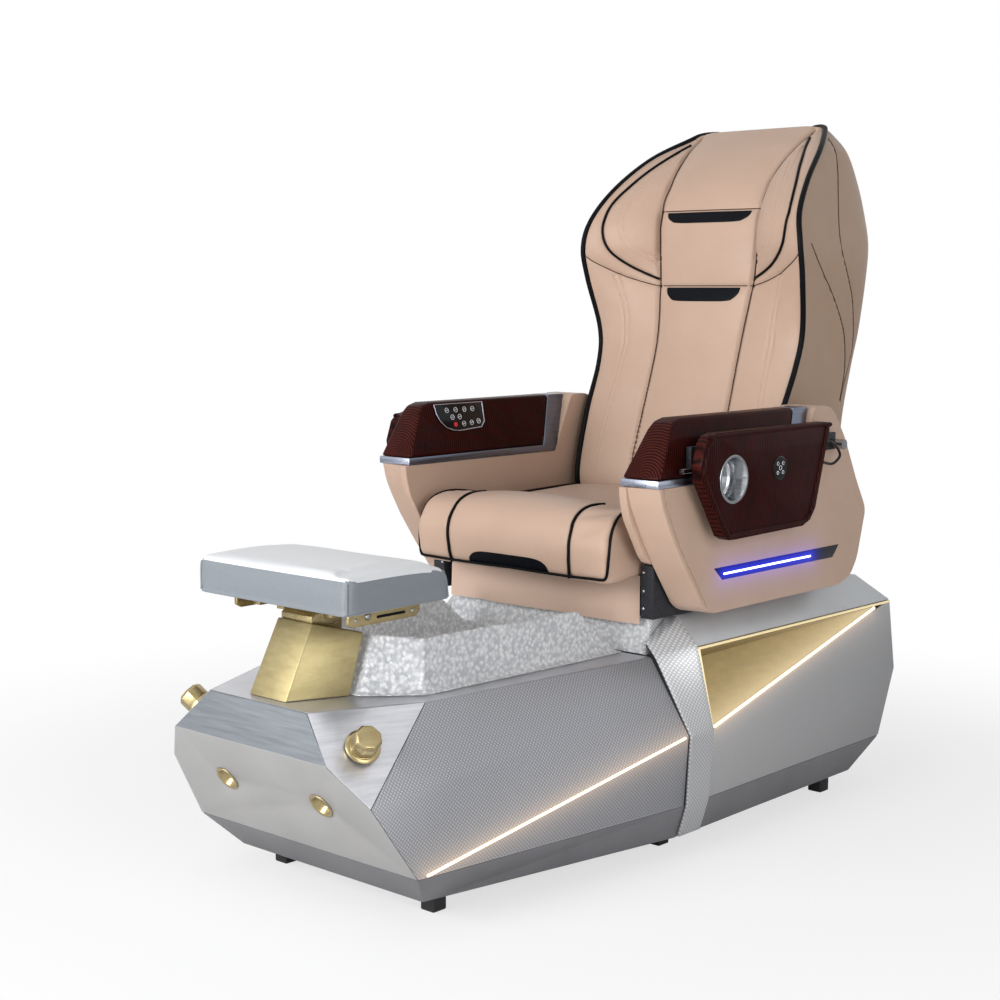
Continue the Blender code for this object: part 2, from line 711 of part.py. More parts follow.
for side in (1, -1):
    ends = [(side * x, recline_y, recline_z) for x in (plate_x[0] + 0.004, seat_half - 0.016)]
    combine(seat_frame, rod("tool", ends[0], ends[1], recline_pin), "UNION")
    ends = [(side * x, arm_pin_y, recline_z) for x in (plate_x[1] - 0.004, arm_in + 0.030)]
    combine(seat_frame, rod("tool", ends[0], ends[1], arm_pin), "UNION")
dress(seat_frame, "black")

seat_low = pan_top + rest
seat_xs = spaced(seat_half, 13, 0.030)


def seat_outline(i, x):
    d = max(0.0, abs(x) - (seat_half - 0.030)) / 0.030
    tuck = 0.030 * (1.0 - math.sqrt(max(0.0, 1.0 - d * d)))
    crown = 0.010 * (1.0 - (x / seat_half) ** 2)
    channel = 0.004 * math.exp(-((abs(x) - seat_half + 0.094) / 0.010) ** 2)
    lift = crown - channel - 0.55 * tuck
    y0 = seat_front + 0.35 * tuck
    return [(y0 + 0.004, seat_low), (seat_rear - 0.010, seat_low), (seat_rear, seat_low + 0.012),
            (seat_rear, seat_low + 0.0996 + lift), (seat_rear - 0.012, seat_low + 0.1136 + lift),
            (0.250, seat_low + 0.1116 + lift), (0.120, seat_low + 0.1126 + lift),
            (0.030, seat_low + 0.1176 + lift),
            (-0.040, seat_low + 0.1246 + lift), (-0.075, seat_low + 0.1236 + lift),
            (-0.105, seat_low + 0.1146 + lift), (y0 + 0.006, seat_low + 0.0956 + 0.7 * lift),
            (y0 - 0.008 + 0.5 * channel, seat_low + 0.0656), (y0 - 0.007 + 0.5 * channel, seat_low + 0.0396),
            (y0, seat_low + 0.0156)]


cushion("seat_cushion", seat_xs, seat_outline, "leather")
flap_half = pan_half
dress(box("seat_flap", (-flap_half, flap_half), (-0.0334, -0.0304), (0.446, pan_top - 0.0015)), "leather")

def climb(share):
    return back_low + share * (back_top - back_low)


# Back shell and back cushion; rows of height, half width, edge y, middle y, rear y, corner radius
back_rows = [
    (climb(0.0), seat_half + 0.002, 0.412, 0.400, 0.735, 0.090),
    (climb(0.1124), seat_half + 0.005, 0.388, 0.394, 0.742, 0.090),
    (climb(0.2642), seat_half + 0.008, 0.423, 0.435, 0.750, 0.095),
    (climb(0.3963), seat_half + 0.013, 0.471, 0.472, 0.772, 0.100),
    (climb(0.4890), seat_half + 0.021, 0.484, 0.494, 0.788, 0.100),
    (climb(0.6188), seat_half + 0.035, 0.457, 0.514, 0.797, 0.100),
    (climb(0.6999), seat_half + 0.038, 0.443, 0.519, 0.800, 0.100),
    (climb(0.7729), seat_half + 0.025, 0.457, 0.526, 0.796, 0.095),
    (climb(0.8552), seat_half + 0.004, 0.519, 0.560, 0.782, 0.085),
    (climb(0.9328), seat_half - 0.026, 0.610, 0.625, 0.764, 0.065),
    (climb(0.9815), seat_half - 0.070, 0.694, 0.688, 0.750, 0.025),
]


def shell_line(half, edge, rear, radius, drop):
    half = half - drop
    rear = rear - drop
    radius = max(0.006, radius - drop)
    line = [(half, edge), (half, 0.5 * (edge + rear - radius))]
    for i in range(5):
        t = math.pi / 2 * i / 4
        line.append((half - radius + radius * math.cos(t), rear - radius + radius * math.sin(t)))
    return line + [(-x, y) for x, y in reversed(line)]


shell_rings = []
for z, half, edge, middle, rear, radius in back_rows:
    ring = shell_line(half, edge, rear, radius, 0.0) + shell_line(half, edge, rear, radius, shell_wall)[::-1]
    shell_rings.append([(x, y, z) for x, y in ring])
back_shell = loft("back_shell", shell_rings)
for side in (1, -1):
    ends = [(side * x, recline_y, recline_z) for x in (seat_half - 0.032, seat_half + 0.048)]
    combine(back_shell, rod("tool", ends[0], ends[1], recline_pin + turn), "DIFFERENCE")
dress(back_shell, "leather", (0.0, recline_y, recline_z))

half_fractions = [0.30, 0.46, 0.54, 0.64, 0.74, 0.84, 0.93, 1.0]
fractions = [-f for f in reversed(half_fractions)] + [0.0] + half_fractions
crown_row = (back_top, seat_half - 0.092, 0.716, 0.712, 0.742, 0.020)
pad_rows = back_rows[1:] + [crown_row]


def back_front(f, row):
    # front face of the back pad: flat middle, seams beside it, wings that come forward to the edge
    z, half, edge, middle, rear, radius = row
    a = abs(f)
    ramp = max(0.0, (a - 0.50) / 0.50)
    y = middle + (edge - middle) * ramp ** 1.6
    y = y - 0.008 * math.cos(min(1.0, a / 0.5) * math.pi / 2)
    y = y + 0.004 * math.exp(-((a - 0.50) / 0.05) ** 2)
    y = y - 0.007 * math.sin(math.pi * ramp)
    if a > 0.95:
        y = y + 0.006
    return y


side_room = shell_wall + rest
front_grid = []
rear_grid = []
for row in pad_rows:
    z, half, edge, middle, rear, radius = row
    reach = half - side_room
    back_y = min(middle + 0.050, rear - max(radius, shell_wall) - 0.002)
    front_grid.append([(f * reach, back_front(f, row), z) for f in fractions])
    rear_grid.append([(f * reach, max(back_y, back_front(f, row) + 0.004), z) for f in fractions])
wide = len(fractions)
rows = len(pad_rows)
verts = [p for row in front_grid for p in row] + [p for row in rear_grid for p in row]
faces = []
for r in range(rows - 1):
    for c in range(wide - 1):
        a = r * wide + c
        b = a + rows * wide
        faces.append((a, a + 1, a + wide + 1, a + wide))
        faces.append((b, b + wide, b + wide + 1, b + 1))
ring = [c for c in range(wide)] + [r * wide + wide - 1 for r in range(1, rows)]
ring += [(rows - 1) * wide + c for c in range(wide - 2, -1, -1)] + [r * wide for r in range(rows - 2, 0, -1)]
for a, b in zip(ring, ring[1:] + ring[:1]):
    faces.append((b, a, a + rows * wide, b + rows * wide))
dress(raw("back_cushion", verts, faces), "leather", (0.0, recline_y, recline_z))

# Arms: leather body, silver trim, wood cap and light lens
cap_low = trim_z + 0.0154
cap_in_top = arm_in + 0.024
cap_out_top = arm_out - 0.015


def arm_slope(z):
    t = max(0.0, (z - cap_low) / (arm_top - cap_low))
    inner = arm_in - 0.0020 + t * (cap_in_top - arm_in + 0.002)
    outer = arm_out + 0.0012 - t * (arm_out - cap_out_top + 0.0012)
    return inner, outer


def spanned(name, faces_yz):
    # pieces with sloping flanks: side faces listed as loops of (y, z), shared points joined
    spots = sorted({p for loop in faces_yz for p in loop})
    verts = [(arm_slope(z)[1], y, z) for y, z in spots] + [(arm_slope(z)[0], y, z) for y, z in spots]
    count = len(spots)
    faces = []
    edges = {}
    for loop in faces_yz:
        ids = [spots.index(p) for p in loop]
        faces.append(tuple(ids))
        faces.append(tuple(i + count for i in reversed(ids)))
        for a, b in zip(ids, ids[1:] + ids[:1]):
            edges[(a, b)] = True
    for a, b in edges:
        if (b, a) not in edges:
            faces.append((b, a, a + count, b + count))
    return raw(name, verts, faces)


rear_low = 0.3325
rear_lean = 0.057 / (arm_top - trim_z)


def trim_rear(z):
    return rear_low + rear_lean * (z - trim_z)


def trim_front(z):
    return 0.2930 + 0.044 / (arm_top - cap_low) * (z - cap_low)


body_top = trim_z - rest
shoulder = [(0.545, 0.480), (0.572, 0.515), (0.603, 0.620), (0.560, 0.690), (0.515, 0.775),
            (0.470, arm_top - 0.013), (0.445, arm_top), (0.415, arm_top),
            (trim_rear(arm_top) + 0.0010, arm_top), (trim_rear(body_top) + 0.0010, body_top)]
arm_low = 0.467
body_rings = []
for x, lead in ((arm_in + 0.017, 0.013), (arm_out, 0.0)):
    ring = [(-0.124 - lead, body_top), (-0.100 - lead, 0.655), (-0.044 - lead, 0.566), (0.018 - lead, 0.480),
            (0.048 - lead, arm_low), (0.500, arm_low)]
    ring = ring + shoulder
    body_rings.append([(x, y, z) for y, z in ring])
arm_body = loft("arm_body_left", body_rings)
inner_rings = []
for x in (arm_in, arm_in + 0.0175):
    ring = [(-0.1400, body_top), (-0.1380, 0.700), (-0.1280, 0.662), (-0.0780, 0.580), (-0.0600, 0.567),
            (0.5860, 0.567)]
    inner_rings.append([(x, y, z) for y, z in ring + shoulder[2:]])
combine(arm_body, loft("tool", inner_rings), "UNION")
ends = [(x, arm_pin_y, recline_z) for x in (arm_in - 0.010, arm_in + 0.034)]
combine(arm_body, rod("tool", ends[0], ends[1], arm_pin + turn), "DIFFERENCE")
lens = [(0.049, 0.555), (0.076, 0.530), (0.471, 0.529), (0.494, 0.554)]
pocket = [(0.0475, 0.556), (0.0755, 0.529), (0.4717, 0.528), (0.4957, 0.555)]
combine(arm_body, prism("tool", pocket, "x", arm_out - 0.0035, arm_out + 0.01), "DIFFERENCE")
arm_origin = (arm_in, arm_pin_y, recline_z)
both(arm_body, "arm_body", "leather", arm_origin)
both(prism("arm_light_left", lens, "x", arm_out - 0.0030, arm_out + 0.0010), "arm_light", "black", arm_origin)

flat = [(-0.131, trim_z), (trim_rear(trim_z), trim_z), (trim_rear(cap_low - rest), cap_low - rest),
        (trim_front(cap_low - rest), cap_low - rest), (-0.131, cap_low - rest)]
upright = [flat[3], flat[2], (trim_rear(arm_top), arm_top), (trim_front(arm_top), arm_top)]
both(spanned("arm_trim_left", [flat, upright]), "arm_trim", "steel", arm_origin)
cap = [(-0.128, cap_low), (trim_front(cap_low) - 0.0008, cap_low), (trim_front(arm_top) - 0.0008, arm_top),
       (-0.045, arm_top), (-0.066, arm_top - 0.006), (-0.080, arm_top - 0.020)]
both(spanned("arm_cap_left", [cap]), "arm_cap", "wood", arm_origin)

panel_line = [(-0.034, arm_top - 0.057), (0.016, arm_top - 0.063), (0.098, arm_top - 0.059),
              (0.110, arm_top - 0.047), (0.112, arm_top - 0.006), (-0.036, arm_top - 0.006)]
face_low = arm_slope(arm_top - 0.063)[0]
face_dir = unit(np.array((arm_slope(arm_top - 0.007)[0] - face_low, 0.0, 0.056)))
face_out = np.array((-face_dir[2], 0.0, face_dir[0]))
plates = []
for lift in (rest, 0.0030):
    ring = []
    for y, z in panel_line:
        p = np.array((arm_slope(z)[0], y, z)) + face_out * lift
        ring.append((-p[0], p[1], p[2]))
    plates.append(ring)
dress(loft("control_panel", plates), "black", (-arm_in, arm_pin_y, recline_z))

# Trays: hinge rod on a bracket along the arm, tray with knuckles, cup and keypad
rod_x = arm_out + 0.019
rod_z = arm_top - 0.044
rod_radius = 0.004
tray_in = rod_x + 0.008
tray_out = tray_in + tray_thick
bar_x = (arm_out + 0.0008, arm_out + 0.0085)
lug_x = (bar_x[0], rod_x + rod_radius + 0.0005)
bar_z = (rod_z - 0.022, rod_z - 0.008)
lug_z = (bar_z[0], rod_z + rod_radius + 0.0005)
peg_z = cap_low + 0.0146
grip_z = rod_z - 0.034
bracket_items = [(lug_x, (y - 0.004, y + 0.004), lug_z) for y in (-0.004, 0.180, 0.356)]
bracket_items.append((bar_x, (0.388, 0.460), (grip_z - 0.012, bar_z[1] - 0.003)))
bracket_items.append(((bar_x[0], arm_out + 0.0120), (-0.046, -0.022), (peg_z - 0.006, bar_z[1])))
tray_bracket = weld("tray_bracket_left", (bar_x, (-0.045, 0.405), bar_z), bracket_items)
rods = [
    ((rod_x, -0.004, rod_z), (rod_x, 0.356, rod_z), rod_radius),
    ((arm_out + 0.015, -0.076, peg_z), (arm_out + 0.015, -0.026, peg_z), 0.005),
    ((bar_x[0] + 0.001, 0.447, grip_z), (arm_out + 0.036, 0.447, grip_z), 0.010),
]
for start, end, radius in rods:
    combine(tray_bracket, rod("tool", start, end, radius), "UNION")
both(tray_bracket, "tray_bracket", "black", arm_origin)

# Tray outline as distances from the hinge rod's height
tray_drop = [(-0.0650, 0.040), (-0.0610, 0.070), (0.0090, 0.178), (0.0260, 0.186), (0.0450, 0.187),
             (0.2790, 0.184), (0.3060, 0.174), (0.3240, 0.152), (0.3710, -0.002), (0.3690, -0.013),
             (0.3560, -0.018), (-0.0190, -0.018), (-0.0380, -0.013), (-0.0510, 0.0)]
tray_line = [(y, rod_z - drop) for y, drop in tray_drop]
tray = prism("tray_left", tray_line, "x", tray_in, tray_out)
for y in (0.030, 0.285):
    knuckle = ((rod_x - 0.0072, tray_in + 0.001), (y, y + 0.040), (rod_z - 0.0075, rod_z + 0.0075))
    combine(tray, box("tool", *knuckle), "UNION")
combine(tray, rod("tool", (rod_x, -0.1, rod_z), (rod_x, 0.5, rod_z), rod_radius + turn), "DIFFERENCE")
cup_y = 0.039
cup_z = rod_z - 0.072
cup_radius = 0.042
ends = [(x, cup_y, cup_z) for x in (tray_in - 0.05, tray_out + 0.05)]
combine(tray, rod("tool", ends[0], ends[1], cup_radius + turn, 32), "DIFFERENCE")
tray_origin = (rod_x, 0.180, rod_z)
both(tray, "tray", "wood", tray_origin)
cup_deep = tray_out - arm_out - 0.007
cup = turned("cup_holder_left", (tray_out, cup_y, cup_z), (1, 0, 0),
             [(0.0, -cup_deep), (cup_radius - 0.004, -cup_deep), (cup_radius, -cup_deep + 0.006),
              (cup_radius, rest), (cup_radius + 0.0045, rest), (cup_radius + 0.0040, 0.0020),
              (cup_radius - 0.0012, 0.0020), (cup_radius - 0.0014, -cup_deep + 0.006),
              (cup_radius - 0.006, -cup_deep + 0.0018), (0.0, -cup_deep + 0.0018)], 32)
both(cup, "cup_holder", "steel", tray_origin)
keypad = turned("tray_keypad", (tray_out, 0.193, rod_z - 0.062), (1, 0, 0),
                [(0.0, rest), (0.0235, rest), (0.0235, 0.0012), (0.0215, 0.0020), (0.0, 0.0020)], 28)
dress(keypad, "black", tray_origin)
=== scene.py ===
# Pedicure spa chair: finishes, upholstery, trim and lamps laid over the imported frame
import math

import bpy
import bmesh
import numpy as np
from mathutils import Matrix, Vector, noise
from mathutils.bvhtree import BVHTree
from mathutils.kdtree import KDTree


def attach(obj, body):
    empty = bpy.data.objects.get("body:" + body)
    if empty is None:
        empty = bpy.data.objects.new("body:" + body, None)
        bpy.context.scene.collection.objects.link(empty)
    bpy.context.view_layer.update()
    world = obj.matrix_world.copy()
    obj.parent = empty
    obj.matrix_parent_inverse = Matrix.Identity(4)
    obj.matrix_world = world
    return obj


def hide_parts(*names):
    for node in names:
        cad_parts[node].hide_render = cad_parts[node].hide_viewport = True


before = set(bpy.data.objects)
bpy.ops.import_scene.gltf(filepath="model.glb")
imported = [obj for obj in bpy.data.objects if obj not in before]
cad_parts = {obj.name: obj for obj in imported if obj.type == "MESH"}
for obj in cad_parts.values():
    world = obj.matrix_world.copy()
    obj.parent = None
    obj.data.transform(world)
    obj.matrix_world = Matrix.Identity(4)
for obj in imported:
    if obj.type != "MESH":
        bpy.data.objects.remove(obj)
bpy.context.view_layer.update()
scene = bpy.context.scene
sides = (("left", 1), ("right", -1))
scene.view_settings.view_transform = "Standard"
print("frame loaded:", len(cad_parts), "nodes")


def hexLinear(code):
    parts = [int(code[i:i + 2], 16) / 255.0 for i in (1, 3, 5)]
    return tuple(c / 12.92 if c <= 0.04045 else ((c + 0.055) / 1.055) ** 2.4 for c in parts) + (1.0,)


def addNode(tree, kind, values=None, links=None, feeds=None):
    # one node with its settings, what comes in (a node stands for its first output) and what its outputs feed
    node = tree.nodes.new("ShaderNode" + kind)
    for key, value in (values or {}).items():
        if isinstance(key, str) and hasattr(node, key):
            setattr(node, key, value)
        else:
            node.inputs[key].default_value = value
    for key, source in (links or {}).items():
        tree.links.new(source.outputs[0] if isinstance(source, bpy.types.Node) else source, node.inputs[key])
    for key, target in (feeds or {}).items():
        tree.links.new(node.outputs[key], target)
    return node


def newFinish(name, sockets):
    made = bpy.data.materials.new(name)
    made.use_nodes = True
    shader = made.node_tree.nodes["Principled BSDF"]
    for key, value in sockets.items():
        shader.inputs[key].default_value = value
    tree = made.node_tree
    return made, tree, shader, addNode(tree, "TexCoord").outputs["Object"]


def perMm(size):
    return 1000.0 / size  # texture scale for one cell of this many millimetres


def bandsPerMm(size):
    return 1000.0 * 0.31416 / size  # wave texture scale for one band of this many millimetres


def patterned(tree, shader, dark, light, part, height=None, distance=0.0, strength=0.0):
    # two colours mixed by one pattern, and relief from another
    addNode(tree, "Mix", {"data_type": "RGBA", 6: hexLinear(dark), 7: hexLinear(light)}, {0: part},
            {2: shader.inputs["Base Color"]})
    if height is not None:
        addNode(tree, "Bump", {"Distance": distance, "Strength": strength}, {"Height": height},
                {0: shader.inputs["Normal"]})


def lineGlow(tree, coords, start, end, reach):
    # fades with the distance from a lamp's line, in object space
    a = Vector(start)
    along = (Vector(end) - a).normalized()
    span = (Vector(end) - a).length
    local = addNode(tree, "VectorMath", {"operation": "SUBTRACT", 1: a}, {0: coords})
    dot = addNode(tree, "VectorMath", {"operation": "DOT_PRODUCT", 1: along}, {0: local})
    held = addNode(tree, "Clamp", {"Min": 0.0, "Max": span}, {"Value": dot.outputs["Value"]})
    foot = addNode(tree, "VectorMath", {"operation": "SCALE", 0: along}, {"Scale": held})
    gap = addNode(tree, "VectorMath", {"operation": "DISTANCE"}, {0: local, 1: foot})
    fall = addNode(tree, "Math", {"operation": "MULTIPLY", 1: -1.0 / reach}, {0: gap.outputs["Value"]})
    return addNode(tree, "Math", {"operation": "EXPONENT"}, {0: fall})


def addGlow(tree, shader, coords, glowLines):
    # light that a lamp's line throws on the face round it
    total = None
    for start, end, reach, colour, power in glowLines:
        shader.inputs["Emission Color"].default_value = hexLinear(colour)
        glow = lineGlow(tree, coords, start, end, reach)
        gain = addNode(tree, "Math", {"operation": "MULTIPLY", 1: power}, {0: glow})
        total = gain if total is None else addNode(tree, "Math", {"operation": "ADD"}, {0: total, 1: gain})
    if total is not None:
        tree.links.new(total.outputs[0], shader.inputs["Emission Strength"])


# Tan upholstery leather: pigment-coated hide, satin, with a soft pebble and slow cloudy colour
def makeLeather(name, face, deep, glowLines=()):
    made, tree, shader, coords = newFinish(name, {"IOR": 1.46, "Specular IOR Level": 0.3, "Sheen Weight": 0.05,
                                                  "Sheen Roughness": 0.5})
    cloud = addNode(tree, "TexNoise", {"Scale": perMm(120), "Detail": 4.0, "Roughness": 0.6}, {"Vector": coords})
    pebble = addNode(tree, "TexVoronoi", {"Scale": perMm(2.6), "Randomness": 1.0}, {"Vector": coords})
    crease = addNode(tree, "TexNoise", {"Scale": perMm(38), "Detail": 5.0, "Roughness": 0.62}, {"Vector": coords})
    relief = addNode(tree, "Math", {"operation": "MULTIPLY_ADD", 1: 0.22}, {0: pebble, 2: crease})
    patterned(tree, shader, deep, face, cloud, relief, 0.0022, 0.35)
    addNode(tree, "MapRange", {"To Min": 0.38, "To Max": 0.52}, {"Value": crease}, {0: shader.inputs["Roughness"]})
    addGlow(tree, shader, coords, glowLines)
    return made


leatherFinish = {"face": "#BBA08E", "deep": "#B09481"}
tanLeather = makeLeather("tanLeather", leatherFinish["face"], leatherFinish["deep"])
paintedLightFlapLeather = makeLeather("paintedLightFlapLeather", "#CBB1A0", "#BFA492")  # painted light: a paler copy of the tan leather, as the flap hangs in the shade
shadedShellLeather = makeLeather("shadedShellLeather", "#A88F7B", "#9C836F")  # painted shade: a tone darker copy of the tan leather for the back's outer shell


# Sewing thread, twisted: pale rows show on the hide; the dark thread laid in the seams is painted shade of their
# grooves
def makeThread(name, dark, light, sockets):
    made, tree, shader, coords = newFinish(name, sockets)
    twist = addNode(tree, "TexNoise", {"Scale": perMm(1.2), "Detail": 1.0}, {"Vector": coords})
    patterned(tree, shader, dark, light, twist)
    return made


paleThread = makeThread("paleThread", "#B3927B", "#D8BDA8", {"Roughness": 0.6, "Sheen Weight": 0.3})
seamShadeThread = makeThread("seamShadeThread", "#38291F", "#57443A", {"Roughness": 0.8, "Specular IOR Level": 0.1})


# Mahogany veneer under clear lacquer: dark red-brown, fine pores as wavy lines, deep gloss
def makeMahogany(name, rings, dark, light):
    made, tree, shader, coords = newFinish(name, {"Roughness": 0.36, "Specular IOR Level": 0.03, "Coat Weight": 0.05,
                                                  "Coat Roughness": 0.05, "Coat IOR": 1.5})
    if rings:
        moved = addNode(tree, "Mapping", {"Location": rings}, {"Vector": coords})
        kind = {"wave_type": "RINGS", "rings_direction": "Y", "Scale": bandsPerMm(5.0), "Distortion": 1.6}
    else:
        moved = addNode(tree, "Mapping", {"Rotation": (math.radians(3), 0, 0)}, {"Vector": coords})
        kind = {"wave_type": "BANDS", "bands_direction": "Y", "Scale": bandsPerMm(6.0), "Distortion": 4.0}
    kind.update({"Detail": 3.0, "Detail Scale": 0.7, "Detail Roughness": 0.55})
    pores = addNode(tree, "TexWave", kind, {"Vector": moved})
    cloud = addNode(tree, "TexNoise", {"Scale": perMm(60), "Detail": 3.0}, {"Vector": coords})
    shade = addNode(tree, "Math", {"operation": "MULTIPLY"}, {0: pores, 1: cloud})
    patterned(tree, shader, dark, light, shade, pores, 0.0002, 0.25)
    return made


mahogany = makeMahogany("mahoganyLacquer", None, "#150504", "#4C1B17")
mahoganyArc = {side: makeMahogany("mahoganyArc" + word.title(), (side * -0.330, 0.0, -0.728), "#180504", "#5C2720")
               for word, side in sides}


# Brushed or satin metals: streaks along one way, drawn coarser than life to show, break the highlight
def makeMetal(name, dark, light, rough, streak, strength=0.25, spread=0.10, metallic=1.0, glowLines=()):
    made, tree, shader, coords = newFinish(name, {"Metallic": metallic, "Roughness": rough})
    scaled = addNode(tree, "Mapping", {"Scale": [perMm(size) for size in streak]}, {"Vector": coords})
    lines = addNode(tree, "TexNoise", {"Scale": 1.0, "Detail": 4.0, "Roughness": 0.6}, {"Vector": scaled})
    patterned(tree, shader, dark, light, lines, lines, 0.0004, strength)
    addNode(tree, "MapRange", {"To Min": rough - spread, "To Max": rough + spread}, {"Value": lines},
            {0: shader.inputs["Roughness"]})
    addGlow(tree, shader, coords, glowLines)
    return made


metals = {  # dark, light, roughness, streak size in mm by axis, relief, roughness spread, metallic
    "satinSilver": ("#8A8F9E", "#C2C8D8", 0.30, (3.33, 83.3, 3.33)),  # chromed trim: cool, streaked along
    "shadedSilver": ("#5A606E", "#7E8494", 0.30, (3.33, 83.3, 3.33)),  # its inner strips, a tone darker
    "brushedAluminium": ("#A8A9AF", "#DCDCE0", 0.36, (100, 100, 5.56), 0.35, 0.1, 0.75),  # pale level lines
    "anodisedGold": ("#8E7D54", "#B9A982", 0.28, (33.3, 33.3, 11.1), 0.03, 0.05, 0.9),  # machined: crisp glints
    "satinGold": ("#877A52", "#AFA27A", 0.46, (33.3, 33.3, 11.1), 0.03, 0.05, 0.8),  # blasted: broad highlight
    "polishedSteel": ("#909296", "#C6C8CB", 0.16, (33.3, 2.5, 33.3), 0.12, 0.06),  # turned: sharp reflections
    "railSteel": ("#77797D", "#9A9CA0", 0.32, (3.33, 83.3, 3.33)),  # cold drawn: dull grey
    "darkBrushed": ("#666B70", "#8E9499", 0.40, (100, 5, 5), 0.4, 0.1, 0.7),  # brushed sideways: dark, lined
}
(satinSilver, shadedSilver, brushedAluminium, anodisedGold, satinGold, polishedSteel, railSteel,
 darkBrushed) = (makeMetal(name, *row) for name, row in metals.items())


# Satin laminate sheet: grey base coat with a faint metallic fleck
def makeLaminate(name, dark, light, rough):
    made, tree, shader, coords = newFinish(name, {"Metallic": 0.35, "Roughness": rough})
    fleck = addNode(tree, "TexNoise", {"Scale": perMm(3.0), "Detail": 3.0}, {"Vector": coords})
    cloud = addNode(tree, "TexNoise", {"Scale": perMm(160), "Detail": 2.0}, {"Vector": coords})
    both = addNode(tree, "Math", {"operation": "MULTIPLY_ADD", 1: 0.35}, {0: fleck, 2: cloud})
    part = addNode(tree, "MapRange", {"From Min": 0.3, "From Max": 1.05}, {"Value": both})
    patterned(tree, shader, dark, light, part, fleck, 0.0004, 0.3)
    return made


satinLaminate = makeLaminate("satinLaminate", "#989796", "#A9A8A7", 0.42)
deckLaminate = makeLaminate("deckLaminate", "#AAADB0", "#BEC1C4", 0.45)
charcoalLaminate = makeLaminate("charcoalLaminate", "#69696C", "#7E7D81", 0.46)


# Twill-look laminate: two sets of slanted threads under a satin film, drawn coarser than life to show
def makeTwill(name, dark, light, pitch, lean, rough, glowLines, relief):
    made, tree, shader, coords = newFinish(name, {"Metallic": 0.45, "Roughness": rough})
    turned = addNode(tree, "Mapping", {"Rotation": (math.radians(lean), 0, 0)}, {"Vector": coords})
    sets = []
    for way in ("Y", "Z"):
        kind = {"wave_type": "BANDS", "bands_direction": way, "Scale": bandsPerMm(pitch), "Distortion": 0.4,
                "Detail": 1.0}
        sets.append(addNode(tree, "TexWave", kind, {"Vector": turned}))
    weave = addNode(tree, "Math", {"operation": "MULTIPLY"}, {0: sets[0], 1: sets[1]})
    patterned(tree, shader, dark, light, weave, weave, relief, 0.55)
    addGlow(tree, shader, coords, glowLines)
    return made


sideLamp = {"node": "side_light_", "thick": 0.0026, "long": 1.0, "reach": 0.020, "colour": "#FFD2A0",
            "power": 0.30}
nicheLamp = {"node": "niche_light_", "thick": 0.0036, "long": 1.028, "reach": 0.016, "colour": "#FFD2A0",
             "power": 0.30}


def barEnds(node):
    # middles of a packed bar's two ends, front one first
    spots = sorted((v.co.copy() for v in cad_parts[node].data.vertices), key=lambda p: p.y)
    half = len(spots) // 2
    return [sum(part, Vector()) / half for part in (spots[:half], spots[half:2 * half])]


def lampLines(lamp):
    throw = (lamp["reach"], lamp["colour"], lamp["power"])
    return [tuple(barEnds(lamp["node"] + word)) + throw for word, side in sides]


twillPanel = makeTwill("twillPanel", "#84858A", "#B5B6BA", 5.2, 45, 0.42, lampLines(sideLamp), 0.0006)
# the side sheets' downward faces: their own twill, drawn paler as painted light against the shade they face
underTwillPaintedLight = makeTwill("underTwillPaintedLight", "#BEBEBF", "#D6D6D8", 7.0, 40, 0.40, lampLines(sideLamp), 0.0003)
rearTwill = makeTwill("rearTwill", "#A0A0A1", "#B0B0B1", 6.0, 40, 0.42, lampLines(nicheLamp), 0.0002)
hatchedStrap = makeTwill("hatchedStrap", "#A2A3A5", "#D6D6D8", 5.6, 45, 0.40, (), 0.0003)
nicheGold = makeMetal("nicheGold", "#7E6838", "#A58C54", 0.34, (33.3, 33.3, 11.1), 0.06, 0.05, 0.6,
                      [line[:2] + (0.040, "#FFEBC4", 0.52) for line in lampLines(nicheLamp)])


# Lamp diffusers: milky acrylic lit from behind
def makeLamp(name, colour, power):
    tone = hexLinear(colour)
    return newFinish(name, {"Base Color": tone, "Roughness": 0.4, "Emission Color": tone,
                            "Emission Strength": power})[0]


warmDiffuser = makeLamp("warmDiffuser", "#FFEBD3", 0.95)
litGold = makeLamp("litGold", "#E9D6A8", 0.35)
coolDiffuser = makeLamp("coolDiffuser", "#E8F2FF", 2.2)

# Hammered crystal: cast acrylic, pale grey and glassy, faintly lit; its pebbles are modelled and throw glints
crystalSockets = {"Roughness": 0.08, "IOR": 1.49, "Transmission Weight": 0.15,
                  "Emission Color": hexLinear("#F4F1EA"), "Emission Strength": 0.10}
crystal, tree, shader, coords = newFinish("hammeredCrystal", crystalSockets)
pebbles = addNode(tree, "TexVoronoi", {"Scale": perMm(7.5), "feature": "SMOOTH_F1"}, {"Vector": coords})
# pebble cells painted pale in the middle and grey at their rims: painted glints and shade
paintedPebbleShade = addNode(tree, "MapRange", {"From Min": 0.10, "From Max": 0.60}, {"Value": pebbles})
glint = addNode(tree, "TexNoise", {"Scale": perMm(4.0), "Detail": 3.0}, {"Vector": coords})
patterned(tree, shader, "#DADBDE", "#9EA1A7", paintedPebbleShade, glint, 0.003, 0.8)


# Plain coats and plastics: one colour, slightly specked, each with its own small relief
def makeCoat(name, dark, light, rough, grain, distance, strength, more=None):
    made, tree, shader, coords = newFinish(name, {"Roughness": rough, **(more or {})})
    speck = addNode(tree, "TexNoise", {"Scale": perMm(grain), "Detail": 3.0}, {"Vector": coords})
    patterned(tree, shader, dark, light, speck, speck, distance, strength)
    return made


